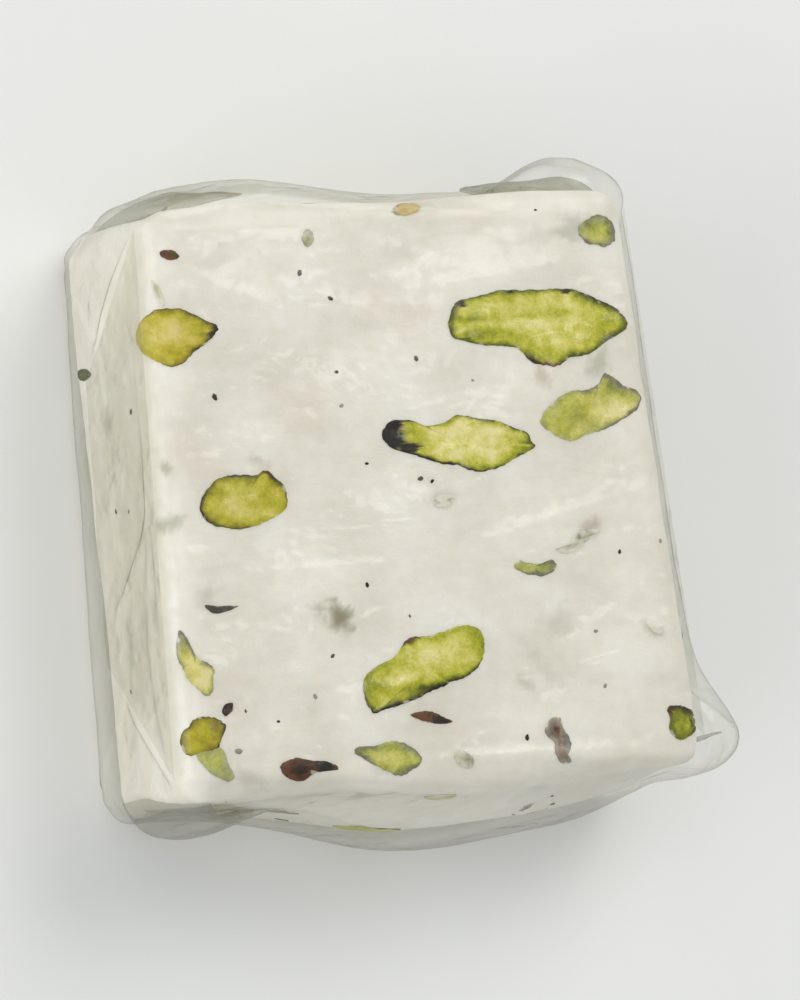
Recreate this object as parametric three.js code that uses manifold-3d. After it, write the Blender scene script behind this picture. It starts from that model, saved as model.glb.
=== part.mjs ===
// A hand-cut piece of pistachio nougat, sealed in clear film: the outside of the whole wrapped piece.
// Millimetres, +Z up. The piece lies on its flat back at z = 0 with its show face up. The head end looks
// to +Y and the foot end to -Y. The film is drawn tight over the face, and its two open ends are folded
// down on the long sides, at -X and +X, which leaves a three-cornered ear at each upright edge.
import * as THREE from "three";
import { mergeVertices } from "three/addons/utils/BufferGeometryUtils.js";
import Module from "manifold-3d";

// The cut block, film included.
const LENGTH = 52.0;
const HEAD_WIDTH = 47.4;
const FOOT_WIDTH = 51.6;
const THICKNESS = 19.0;
const CORNER_RADIUS = 2.4;
const FACE_EDGE_RADIUS = 1.7;
const BACK_EDGE_RADIUS = 1.1;

// How far the knife and the soft sweet leave the block from a true slab.
const FACE_RELIEF = 0.35;
const END_RELIEF = 0.25;
const FOOT_LEAN = 2.2;
const FOOT_LEAN_X = 6.0;
const FOOT_LEAN_SPREAD = 17.0;

// The film's flaps on the long sides.
const FLAP_LIFT = 0.45;
const FLAP_ROOT = 0.9;
const OVER_FLAP_DROP = 11.5;
const UNDER_FLAP_RISE = 8.0;
const UNDER_FLAP_LIFT = 0.3;
const FLAP_END_GAP = 2.6;
const FLAP_EDGE_GAP = 1.8;
const FLAP_HEM_SAG = 0.8;

// The film's ears at the upright edges.
const EAR_THICKNESS = 0.7;
const EAR_ROOT = 1.5;
const EAR_SINK = 0.25;
const EAR_EDGE_GAP = 1.6;
const EAR_TIP_HALF = 0.6;

// Mesh fineness.
const ARC_STEPS = 5;
const SIDE_STEP = 2.6;
const WALL_LEVELS = 9;
const CAP_RINGS = 12;
const CURVE_SEGMENTS = 8;

const HALF_LENGTH = LENGTH / 2;
const SIDE_TURN = Math.atan2((FOOT_WIDTH - HEAD_WIDTH) / 2, LENGTH);

const wasm = await Module();
wasm.setup();

// Half the block's width at a station along its length.
function halfWidth(y) {
  const share = (y + HALF_LENGTH) / LENGTH;
  return THREE.MathUtils.lerp(FOOT_WIDTH, HEAD_WIDTH, share) / 2;
}

// A smooth hump, 1 at the centre and near 0 past the spread.
function hump(value, centre, spread) {
  return Math.exp(-(((value - centre) / spread) ** 2));
}

// The gentle swell and dip of the face under the tight film.
function faceRelief(x, y) {
  const long = Math.sin(x * 0.11 + 0.8) * Math.cos(y * 0.13 - 0.4);
  const short = Math.sin(x * 0.31 - y * 0.17) * Math.sin(y * 0.29 + 1.1);
  return FACE_RELIEF * (0.6 * long + 0.4 * short);
}

// The point of the face over a place in plan.
function facePoint(x, y) {
  return new THREE.Vector3(x, y, THICKNESS + faceRelief(x, y));
}

// How far a point of the upright wall stands out from the true slab. The long sides are held flat by their
// flaps, while the two ends wave a little and the foot end leans out towards the back.
function wallRelief(x, z, normal) {
  const wave = END_RELIEF * Math.abs(normal.y) * Math.sin(x * 0.23 + normal.y * 5 + z * 0.35);
  const facesFoot = Math.max(0, -normal.y);
  const lean = hump(x, FOOT_LEAN_X, FOOT_LEAN_SPREAD) * hump(z / THICKNESS, 0.35, 0.5);
  return wave + FOOT_LEAN * facesFoot * lean;
}

// The block's outline in plan, drawn in by inset: points on a rounded trapezium, with outward normals.
function outline(inset) {
  const corners = [
    [1, -1],
    [1, 1],
    [-1, 1],
    [-1, -1],
  ];
  const radius = CORNER_RADIUS - inset;
  const centres = corners.map(([sx, sy]) => {
    const y = sy * (HALF_LENGTH - CORNER_RADIUS);
    return new THREE.Vector2(sx * (halfWidth(y) - CORNER_RADIUS), y);
  });
  const points = [];
  corners.forEach(([sx, sy], i) => {
    const from = Math.atan2(sy, sx) - Math.PI / 4;
    for (let k = 0; k <= ARC_STEPS; k += 1) {
      const angle = from + (k / ARC_STEPS) * (Math.PI / 2);
      const normal = new THREE.Vector2(Math.cos(angle), Math.sin(angle));
      points.push({ at: centres[i].clone().addScaledVector(normal, radius), normal });
    }
    const start = points[points.length - 1].at;
    const next = centres[(i + 1) % corners.length];
    const normal = points[points.length - 1].normal;
    const end = next.clone().addScaledVector(normal, radius);
    const steps = Math.round(centres[i].distanceTo(next) / SIDE_STEP);
    for (let k = 1; k < steps; k += 1) {
      points.push({ at: start.clone().lerp(end, k / steps), normal: normal.clone() });
    }
  });
  return points;
}

// The levels of the wall from the back to the face, each a height and how far the outline is drawn in.
function wallLevels() {
  const levels = [];
  const low = BACK_EDGE_RADIUS;
  const high = THICKNESS - FACE_EDGE_RADIUS;
  for (let k = 0; k <= ARC_STEPS; k += 1) {
    const angle = (k / ARC_STEPS) * (Math.PI / 2);
    levels.push({ z: low * (1 - Math.cos(angle)), inset: low * (1 - Math.sin(angle)) });
  }
  for (let k = 1; k < WALL_LEVELS; k += 1) {
    levels.push({ z: THREE.MathUtils.lerp(low, high, k / WALL_LEVELS), inset: 0 });
  }
  for (let k = 0; k <= ARC_STEPS; k += 1) {
    const angle = (k / ARC_STEPS) * (Math.PI / 2);
    const rise = FACE_EDGE_RADIUS * Math.sin(angle);
    levels.push({ z: high + rise, inset: FACE_EDGE_RADIUS * (1 - Math.cos(angle)) });
  }
  return levels;
}

// The block: rings of points lofted from the back to the face, then rings that shrink to the face's centre.
function blockGeometry() {
  const rings = wallLevels().map(({ z, inset }) =>
    outline(inset).map(({ at, normal }) => {
      const out = wallRelief(at.x, z, normal);
      const x = at.x + normal.x * out;
      const y = at.y + normal.y * out;
      return new THREE.Vector3(x, y, z + faceRelief(x, y) * (z / THICKNESS) ** 3);
    }),
  );
  const rim = rings[rings.length - 1];
  for (let k = 1; k < CAP_RINGS; k += 1) {
    const share = 1 - k / CAP_RINGS;
    rings.push(rim.map((p) => facePoint(p.x * share, p.y * share)));
  }
  const count = rim.length;
  const vertices = rings.flat();
  const backCentre = vertices.push(new THREE.Vector3(0, 0, 0)) - 1;
  const faceCentre = vertices.push(facePoint(0, 0)) - 1;
  const index = [];
  for (let i = 0; i < count; i += 1) {
    const j = (i + 1) % count;
    index.push(backCentre, j, i);
    for (let r = 0; r + 1 < rings.length; r += 1) {
      const low = r * count;
      const high = low + count;
      index.push(low + i, low + j, high + j, low + i, high + j, high + i);
    }
    const last = (rings.length - 1) * count;
    index.push(last + i, last + j, faceCentre);
  }
  return new THREE.BufferGeometry().setFromPoints(vertices).setIndex(index);
}

// A plate of film on a long side: a trapezium from one edge of the side inwards, with ends at 45 degrees.
function flapGeometry(side, fromFace) {
  const reach = fromFace ? OVER_FLAP_DROP : UNDER_FLAP_RISE;
  const lift = fromFace ? FLAP_LIFT : UNDER_FLAP_LIFT;
  const half = HALF_LENGTH - FLAP_END_GAP;
  const shape = new THREE.Shape();
  shape.moveTo(-half, 0);
  shape.lineTo(half, 0);
  shape.lineTo(half - reach, reach);
  shape.quadraticCurveTo(0, reach - FLAP_HEM_SAG, -half + reach, reach);
  shape.closePath();
  const settings = { depth: FLAP_ROOT + lift, bevelEnabled: false, curveSegments: CURVE_SEGMENTS };
  const plate = new THREE.ExtrudeGeometry(shape, settings);
  const along = new THREE.Vector3(0, 1, 0);
  const inwards = new THREE.Vector3(0, 0, fromFace ? -1 : 1);
  plate.applyMatrix4(new THREE.Matrix4().makeBasis(along, inwards, along.clone().cross(inwards)));
  plate.computeBoundingBox();
  const { min, max } = plate.boundingBox;
  const edge = fromFace ? THICKNESS - FLAP_EDGE_GAP : FLAP_EDGE_GAP;
  plate.translate(side > 0 ? -min.x - FLAP_ROOT : -max.x + FLAP_ROOT, 0, edge);
  plate.rotateZ(side * SIDE_TURN);
  return plate.translate((side * (HEAD_WIDTH + FOOT_WIDTH)) / 4, 0, 0);
}

// An ear: a thin three-cornered fin on an upright edge. It points near mid-height, along heading in degrees.
function earGeometry({ end, side, root, heading, reach, droop }) {
  const low = EAR_EDGE_GAP;
  const high = THICKNESS - EAR_EDGE_GAP;
  const tip = THICKNESS / 2 - droop;
  const shape = new THREE.Shape();
  shape.moveTo(-EAR_ROOT, low);
  shape.lineTo(0, low);
  shape.quadraticCurveTo(reach * 0.6, low + (tip - low) * 0.45, reach, tip - EAR_TIP_HALF);
  shape.lineTo(reach, tip + EAR_TIP_HALF);
  shape.quadraticCurveTo(reach * 0.6, high - (high - tip) * 0.45, 0, high);
  shape.lineTo(-EAR_ROOT, high);
  shape.closePath();
  const settings = { depth: EAR_THICKNESS, bevelEnabled: false, curveSegments: CURVE_SEGMENTS };
  const fin = new THREE.ExtrudeGeometry(shape, settings);
  fin.translate(0, 0, -EAR_THICKNESS / 2).rotateX(Math.PI / 2).rotateZ(THREE.MathUtils.degToRad(heading));
  const angle = THREE.MathUtils.degToRad(root);
  const y = end * (HALF_LENGTH - CORNER_RADIUS);
  const x = side * (halfWidth(y) - CORNER_RADIUS);
  const sunk = CORNER_RADIUS - EAR_SINK;
  return fin.translate(x + sunk * Math.cos(angle), y + sunk * Math.sin(angle), 0);
}

// A geometry as a solid that can be joined.
function solidFrom(geometry) {
  const bare = geometry.clone();
  bare.deleteAttribute("normal");
  bare.deleteAttribute("uv");
  const merged = mergeVertices(bare, 1e-4);
  const vertProperties = merged.attributes.position.array;
  const triVerts = new Uint32Array(merged.index.array);
  return new wasm.Manifold(new wasm.Mesh({ numProp: 3, vertProperties, triVerts }));
}

// A joined solid back as a geometry.
function geometryFrom(solid) {
  const { vertProperties, triVerts } = solid.getMesh();
  const geometry = new THREE.BufferGeometry();
  geometry.setAttribute("position", new THREE.BufferAttribute(vertProperties, 3));
  return geometry.setIndex(new THREE.BufferAttribute(triVerts, 1));
}

// The ears: the corner and the angle round it where each is rooted, its heading in plan, its reach, and how
// far its point hangs under mid-height.
const EARS = [
  { end: -1, side: -1, root: -90, heading: -26, reach: 9.2, droop: 2.4 },
  { end: -1, side: 1, root: -10, heading: 24, reach: 8.6, droop: 1.2 },
  { end: 1, side: -1, root: 90, heading: 14, reach: 9.0, droop: 0.6 },
  { end: 1, side: 1, root: 90, heading: 162, reach: 9.0, droop: -0.8 },
];

let wrapped = solidFrom(blockGeometry());
for (const side of [-1, 1]) {
  wrapped = wrapped.add(solidFrom(flapGeometry(side, true)));
  wrapped = wrapped.add(solidFrom(flapGeometry(side, false)));
}
for (const ear of EARS) {
  wrapped = wrapped.add(solidFrom(earGeometry(ear)));
}

const geometry = geometryFrom(wrapped);
geometry.computeBoundingBox();
const { min, max } = geometry.boundingBox;
geometry.translate(-(min.x + max.x) / 2, -(min.y + max.y) / 2, -min.z);
geometry.computeVertexNormals();

const nougatInFilm = new THREE.MeshStandardMaterial({ color: 0xdedbce, roughness: 0.35, metalness: 0 });
const bar = new THREE.Mesh(geometry, nougatInFilm);
bar.name = "wrapped_bar";

const group = new THREE.Group();
group.add(bar);

export default group;
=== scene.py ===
"""A hand-cut piece of pistachio nougat in clear film, lying on its back with its show face up.

Sizes are millimetres in the bar's own frame until a piece becomes an object: X runs across the face,
Y towards the head end and Z up out of the face, with the bar's middle at x = y = 0 and its back at z = 0.
"""

import logging
import math
import random
from collections.abc import Iterable
from dataclasses import dataclass, field, replace
from enum import Enum

import bmesh
import bpy
import numpy as np
from mathutils import Matrix, Vector, noise
from mathutils.bvhtree import BVHTree


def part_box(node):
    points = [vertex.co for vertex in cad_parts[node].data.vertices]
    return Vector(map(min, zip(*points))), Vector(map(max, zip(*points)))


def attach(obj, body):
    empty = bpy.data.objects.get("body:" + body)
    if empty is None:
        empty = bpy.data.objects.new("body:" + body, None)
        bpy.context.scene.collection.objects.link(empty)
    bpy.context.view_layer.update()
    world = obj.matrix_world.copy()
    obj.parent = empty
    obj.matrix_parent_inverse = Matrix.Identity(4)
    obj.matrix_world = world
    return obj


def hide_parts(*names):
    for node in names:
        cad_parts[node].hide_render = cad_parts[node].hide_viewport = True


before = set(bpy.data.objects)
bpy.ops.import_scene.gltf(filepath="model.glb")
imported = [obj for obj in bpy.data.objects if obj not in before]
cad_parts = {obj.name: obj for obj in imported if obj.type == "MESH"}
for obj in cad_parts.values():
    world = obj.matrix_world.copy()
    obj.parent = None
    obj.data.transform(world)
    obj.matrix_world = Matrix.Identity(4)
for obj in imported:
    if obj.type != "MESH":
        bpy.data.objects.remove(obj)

MM = 0.001
NODE = "wrapped_bar"
BODY = "root"

log = logging.getLogger("nougat_bar")

# What each point of a nut piece carries for its finish.
NUT_VALUES = ("tone", "ripe", "rim", "skin", "warm", "veil")

# Faces that meet at a sharper angle than this keep a crisp edge.
SMOOTH_DEGREES = 55

# Settings that several nodes share.
MULTIPLY_ADD = {"operation": "MULTIPLY_ADD"}
COLOURS = {"data_type": "RGBA"}

Layers = dict[str, bmesh.types.BMLayerItem]


# --- Small tools -----------------------------------------------------------------------------------------


def linear(code: str) -> tuple[float, float, float, float]:
    """Turns an sRGB hex colour to linear.

    Args:
        code: Six hex digits, such as "ded9c8".

    Returns:
        Linear red, green and blue, and an alpha of 1.
    """
    parts = (int(code[i : i + 2], 16) / 255 for i in (0, 2, 4))
    red, green, blue = (c / 12.92 if c <= 0.04045 else ((c + 0.055) / 1.055) ** 2.4 for c in parts)
    return (red, green, blue, 1.0)


def hump(value: float, centre: float, spread: float) -> float:
    """A smooth hump, 1 at the centre and near 0 past twice the spread."""
    return math.exp(-(((value - centre) / spread) ** 2))


def smoothstep(value: float, low: float, high: float) -> float:
    """0 below low, 1 above high and a smooth rise between."""
    share = min(max((value - low) / (high - low), 0.0), 1.0)
    return share * share * (3 - 2 * share)


def gridded_box(cuts: tuple[int, int, int]) -> bmesh.types.BMesh:
    """A cube from -1 to 1 whose faces are cut into an even grid.

    Args:
        cuts: How many cuts run across the X, Y and Z edges.

    Returns:
        A new bmesh.
    """
    bm = bmesh.new()
    bmesh.ops.create_cube(bm, size=2.0)
    for axis, count in enumerate(cuts):
        if count < 1:
            continue
        others = [i for i in range(3) if i != axis]
        edges = [
            e for e in bm.edges if all(abs(e.verts[0].co[i] - e.verts[1].co[i]) < 1e-4 for i in others)
        ]
        bmesh.ops.subdivide_edges(bm, edges=edges, cuts=count, use_grid_fill=True)
    bmesh.ops.recalc_face_normals(bm, faces=bm.faces[:])
    return bm


def take_in(bm: bmesh.types.BMesh, part: bmesh.types.BMesh) -> None:
    """Adds one bmesh to another.

    Args:
        bm: The mesh that takes it.
        part: The mesh that is added, which is freed.
    """
    mesh = bpy.data.meshes.new("part")
    part.to_mesh(mesh)
    part.free()
    bm.from_mesh(mesh)
    bpy.data.meshes.remove(mesh)


def add_node(
    tree: bpy.types.NodeTree, kind: str, settings: dict | None = None, **links: object
) -> bpy.types.Node:
    """Adds a node with its settings and links.

    Args:
        tree: The material's node tree.
        kind: The node's type name, without ShaderNode in front.
        settings: Attribute values to set on the node, and the stops of a colour ramp, each a place and a
            hex colour.
        **links: What each input takes: a node, for its first output, a socket or a value. The input's name is
            written with underscores for spaces, or as in0, in1 and so on for an input known by its place.

    Returns:
        The new node.
    """
    node = tree.nodes.new("ShaderNode" + kind)
    for name, value in (settings or {}).items():
        if name != "stops":
            setattr(node, name, value)
            continue
        elements = node.color_ramp.elements
        while len(elements) < len(value):
            elements.new(0.5)
        for element, (position, code) in zip(elements, value, strict=True):
            element.position = position
            element.color = linear(code)
    for name, value in links.items():
        place = name[2:]
        key = int(place) if name.startswith("in") and place.isdigit() else name.replace("_", " ")
        if isinstance(value, bpy.types.Node):
            value = value.outputs[0]
        if isinstance(value, bpy.types.NodeSocket):
            tree.links.new(value, node.inputs[key])
        else:
            node.inputs[key].default_value = value
    return node


def new_material(name: str) -> tuple[bpy.types.Material, bpy.types.NodeTree, bpy.types.NodeSocket]:
    """An empty node material.

    Args:
        name: The material's name.

    Returns:
        The material, its tree and the surface socket of its output.
    """
    material = bpy.data.materials.new(name)
    material.use_nodes = True
    tree = material.node_tree
    tree.nodes.clear()
    output = add_node(tree, "OutputMaterial")
    return material, tree, output.inputs["Surface"]


# --- The block's form ------------------------------------------------------------------------------------


class Side(Enum):
    """The block's six sides, each with its across, up and outward directions."""

    FACE = ((1, 0, 0), (0, 1, 0), (0, 0, 1))
    BACK = ((-1, 0, 0), (0, 1, 0), (0, 0, -1))
    LEFT = ((0, -1, 0), (0, 0, 1), (-1, 0, 0))
    RIGHT = ((0, 1, 0), (0, 0, 1), (1, 0, 0))
    HEAD = ((-1, 0, 0), (0, 0, 1), (0, 1, 0))
    FOOT = ((1, 0, 0), (0, 0, 1), (0, -1, 0))

    @property
    def across(self) -> Vector:
        """The direction that runs to the right as the side is looked at."""
        return Vector(self.value[0])

    @property
    def up(self) -> Vector:
        """The direction that runs upwards as the side is looked at."""
        return Vector(self.value[1])

    @property
    def out(self) -> Vector:
        """The outward direction."""
        return Vector(self.value[2])


@dataclass(frozen=True)
class BarShape:
    """The form of the cut block, which the nougat, the nut pieces and the film all follow.

    Attributes:
        length: From the foot end to the head end.
        head_width: The width at the head end.
        foot_width: The width at the foot end.
        thickness: From the back to the face.
        upright_radius: The rounding of the upright edges.
        face_radius: The rounding of the edges round the face and the back.
        face_relief: The height of the face's slow waves.
        end_relief: The height of the waves in the two ends.
        foot_lean: How far the foot end stands out below its middle.
        foot_lean_x: Where along the foot end it stands out most.
        foot_lean_spread: How far to each side of that it stands out.
        left_reach: From the left of the whole part, with its film, to the bar's middle.
        foot_reach: From the foot of the whole part to the bar's middle.
    """

    length: float = 52.0
    head_width: float = 47.4
    foot_width: float = 51.6
    thickness: float = 19.0
    upright_radius: float = 2.4
    face_radius: float = 1.9
    face_relief: float = 0.35
    end_relief: float = 0.25
    foot_lean: float = 3.4
    foot_lean_x: float = 6.0
    foot_lean_spread: float = 17.0
    left_reach: float = 26.144
    foot_reach: float = 30.098

    @property
    def middle(self) -> Vector:
        """Half the size of the slab that the block is cut from."""
        return Vector(((self.head_width + self.foot_width) / 4, self.length / 2, self.thickness / 2))

    def half_width(self, y: float) -> float:
        """Half the block's width at a station along its length."""
        share = y / self.length + 0.5
        return (self.foot_width + (self.head_width - self.foot_width) * share) / 2

    def swell(self, x: float, y: float) -> float:
        """The gentle swell and dip of the show face.

        Args:
            x: Distance to the right of the face's middle.
            y: Distance towards the head end.

        Returns:
            How far the face stands above or below the flat.
        """
        long = math.sin(x * 0.11 + 0.8) * math.cos(y * 0.13 - 0.4)
        short = math.sin(x * 0.31 - y * 0.17) * math.sin(y * 0.29 + 1.1)
        return self.face_relief * (0.6 * long + 0.4 * short)

    def wrap(self, unit: Vector, inset: float) -> tuple[Vector, Vector]:
        """Puts a point of the unit cube on the block's rounded surface.

        Args:
            unit: A point on the cube from -1 to 1.
            inset: How far inside the block's outside the surface lies.

        Returns:
            The point, and the direction in which the surface faces there.
        """
        radius = Vector((self.upright_radius, self.upright_radius, self.face_radius))
        half = self.middle - Vector((inset, inset, inset))
        core = half - radius
        reach = Vector(unit[i] * half[i] for i in range(3))
        inner = Vector(min(max(reach[i], -core[i]), core[i]) for i in range(3))
        lean = Vector((reach[i] - inner[i]) / radius[i] for i in range(3)).normalized()
        point = inner + Vector(lean[i] * radius[i] for i in range(3))
        point.z += self.thickness / 2
        point.x *= self.half_width(point.y) / self.middle.x
        wave = self.end_relief * abs(lean.y) * math.sin(point.x * 0.23 + lean.y * 5 + point.z * 0.35)
        height = point.z / self.thickness
        bulge = hump(point.x, self.foot_lean_x, self.foot_lean_spread) * hump(height, 0.3, 0.55)
        point += lean * (wave + self.foot_lean * max(0.0, -lean.y) * bulge)
        point.z += self.swell(point.x, point.y) * height**3
        return point, lean

    def on_side(self, side: Side, across: float, up: float) -> Vector:
        """A point on the flat slab's side, with up counted from the block's middle.

        Args:
            side: Which side.
            across: Distance to the right of the side's middle.
            up: Distance above the side's middle.

        Returns:
            The point in the bar's frame.
        """
        centre = Vector((0, 0, self.thickness / 2))
        depth = abs(side.out.dot(self.middle))
        return centre + side.out * depth + side.across * across + side.up * up

    def place(self) -> Matrix:
        """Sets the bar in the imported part's box.

        Returns:
            The matrix that takes the bar's frame, in millimetres, to the part's, in metres.
        """
        low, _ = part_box(NODE)
        shift = Vector((low.x + self.left_reach * MM, low.y + self.foot_reach * MM, low.z))
        return Matrix.Translation(shift) @ Matrix.Scale(MM, 4)


def finish_piece(
    bm: bmesh.types.BMesh, name: str, shape: BarShape, material: bpy.types.Material
) -> bpy.types.Object:
    """Makes a bmesh in the bar's frame into a named object of the part.

    Args:
        bm: The mesh, which is freed.
        name: The piece's name.
        shape: The bar, for its place.
        material: The piece's material.

    Returns:
        The object, riding on the part's body.
    """
    bmesh.ops.transform(bm, matrix=shape.place(), verts=bm.verts[:])
    mesh = bpy.data.meshes.new(name)
    bm.to_mesh(mesh)
    bm.free()
    mesh.shade_smooth()
    mesh.set_sharp_from_angle(angle=math.radians(SMOOTH_DEGREES))
    mesh.materials.append(material)
    piece = bpy.data.objects.new(name, mesh)
    bpy.context.scene.collection.objects.link(piece)
    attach(piece, BODY)
    log.info("%s: %d faces", name, len(mesh.polygons))
    return piece


# --- Finishes --------------------------------------------------------------------------------------------


@dataclass(frozen=True)
class NougatFinish:
    """Whipped egg-white and honey nougat, cut with a wet knife: soft white, faintly see-through, satin."""

    name: str = "whipped_white_nougat"
    light: str = "f2eee5"
    body: str = "ece7dc"
    shade: str = "e4ded1"
    green_veil: str = "8b8f70"
    brown_veil: str = "94785c"
    cloud_mm: float = 9.0
    fleck_mm: float = 1.4
    grain_mm: float = 0.35
    grain_depth_mm: float = 0.05
    drag_mm: float = 3.4
    drag_depth_mm: float = 0.10
    glow_mm: float = 1.6
    roughness: float = 0.42

    def material(self) -> bpy.types.Material:
        """Builds the nougat's material.

        Returns:
            The material.
        """
        material, tree, surface = new_material(self.name)
        place = add_node(tree, "TexCoord").outputs["Object"]
        cloud = add_node(
            tree, "TexNoise", None, Vector=place, Scale=1 / (self.cloud_mm * MM), Detail=3.0, Roughness=0.55
        )
        fleck = add_node(
            tree, "TexNoise", None, Vector=place, Scale=1 / (self.fleck_mm * MM), Detail=4.0, Roughness=0.6
        )
        both = add_node(tree, "Math", MULTIPLY_ADD, in0=fleck, in1=0.4, in2=cloud)
        stops = ((0.52, self.shade), (0.70, self.body), (0.86, self.light))
        tint = add_node(tree, "ValToRGB", {"stops": stops}, Fac=both).outputs["Color"]
        for attribute, veil in (("green_stain", self.green_veil), ("brown_stain", self.brown_veil)):
            stain = add_node(tree, "Attribute", {"attribute_name": attribute}).outputs["Fac"]
            tint = add_node(tree, "Mix", COLOURS, Factor=stain, in6=tint, in7=linear(veil)).outputs[2]
        grain = add_node(
            tree, "TexNoise", None, Vector=place, Scale=1 / (self.grain_mm * MM), Detail=3.0, Roughness=0.6
        )
        pulled = add_node(
            tree, "Mapping", None, Vector=place, Rotation=(0.0, 0.0, -0.12), Scale=(0.4, 1.0, 1.0)
        )
        drag = add_node(
            tree, "TexNoise", None, Vector=pulled, Scale=1 / (self.drag_mm * MM), Detail=4.0, Roughness=0.6,
            Distortion=0.4
        )
        smear = add_node(tree, "Bump", None, Strength=1.0, Distance=self.drag_depth_mm * MM, Height=drag)
        bump = add_node(
            tree, "Bump", None, Strength=0.35, Distance=self.grain_depth_mm * MM, Height=grain, Normal=smear
        )
        shader = add_node(
            tree, "BsdfPrincipled", None, Base_Color=tint, Roughness=self.roughness, IOR=1.49,
            Subsurface_Weight=0.35, Subsurface_Radius=(1.0, 0.85, 0.6), Subsurface_Scale=self.glow_mm * MM,
            Normal=bump
        )
        tree.links.new(shader.outputs["BSDF"], surface)
        return material


@dataclass(frozen=True)
class PistachioFinish:
    """Pistachio kernels sliced by the knife.

    They give a pale yellow-green heart, a green rim and a dark papery skin, all matt beside the sweet.
    """

    name: str = "sliced_pistachio"
    flesh: tuple[tuple[float, str], ...] = (
        (0.0, "ece2a0"), (0.2, "d9d16a"), (0.4, "bab92e"), (0.6, "949812"), (0.8, "6c700c"), (1.0, "454a0a")
    )
    ochre: str = "bf9e1c"
    rim: str = "35350a"
    skin_dark: str = "1a1208"
    skin_warm: str = "6f4526"
    smear: str = "e2dece"
    mottle_mm: float = 0.8
    mottle_depth_mm: float = 0.10
    speck_mm: float = 0.22
    glow_mm: float = 0.5
    roughness: float = 0.4

    def material(self) -> bpy.types.Material:
        """Builds the kernels' material from the values that each point of them carries.

        Returns:
            The material.
        """
        material, tree, surface = new_material(self.name)
        place = add_node(tree, "TexCoord").outputs["Object"]
        values = {
            name: add_node(tree, "Attribute", {"attribute_name": name}).outputs["Fac"]
            for name in NUT_VALUES
        }
        mottle, speck = (
            add_node(tree, "TexNoise", None, Vector=place, Scale=1 / (size * MM), Detail=3.0, Roughness=0.6)
            for size in (self.mottle_mm, self.speck_mm)
        )
        tone = add_node(tree, "Math", MULTIPLY_ADD, in0=mottle, in1=0.7, in2=values["tone"])
        tone = add_node(tree, "Math", MULTIPLY_ADD, in0=speck, in1=0.45, in2=tone)
        tone = add_node(tree, "MapRange", None, Value=tone, From_Min=0.36, From_Max=1.5)
        tint = add_node(tree, "ValToRGB", {"stops": self.flesh}, Fac=tone).outputs["Color"]
        ragged = add_node(tree, "Math", {"operation": "SUBTRACT"}, in0=speck, in1=0.5)
        layers = ((values["ripe"], linear(self.ochre), 0.0), (values["rim"], linear(self.rim), 1.1))
        for share, colour, roughening in layers:
            edge = add_node(tree, "Math", MULTIPLY_ADD, in0=ragged, in1=roughening, in2=share)
            clear = add_node(
                tree, "Math", {"operation": "MULTIPLY", "use_clamp": True}, in0=edge, in1=share
            )
            tint = add_node(tree, "Mix", COLOURS, Factor=clear, in6=tint, in7=colour).outputs[2]
        blotch = add_node(tree, "Math", {"operation": "SUBTRACT"}, in0=mottle, in1=0.5)
        browned = add_node(tree, "Math", {"operation": "MULTIPLY"}, in0=blotch, in1=values["warm"])
        browned = add_node(
            tree, "Math", {"operation": "MULTIPLY_ADD", "use_clamp": True}, in0=browned, in1=3.2,
            in2=values["warm"]
        )
        papery = add_node(
            tree, "Mix", COLOURS, Factor=browned, in6=linear(self.skin_dark), in7=linear(self.skin_warm)
        )
        for share, colour in ((values["skin"], papery.outputs[2]), (values["veil"], linear(self.smear))):
            tint = add_node(tree, "Mix", COLOURS, Factor=share, in6=tint, in7=colour).outputs[2]
        bump = add_node(tree, "Bump", None, Strength=0.6, Distance=self.mottle_depth_mm * MM, Height=mottle)
        shader = add_node(
            tree, "BsdfPrincipled", None, Base_Color=tint, Roughness=self.roughness, IOR=1.47,
            Specular_IOR_Level=0.2, Subsurface_Weight=0.12, Subsurface_Radius=(1.0, 1.0, 0.4),
            Subsurface_Scale=self.glow_mm * MM, Normal=bump
        )
        tree.links.new(shader.outputs["BSDF"], surface)
        return material


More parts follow.
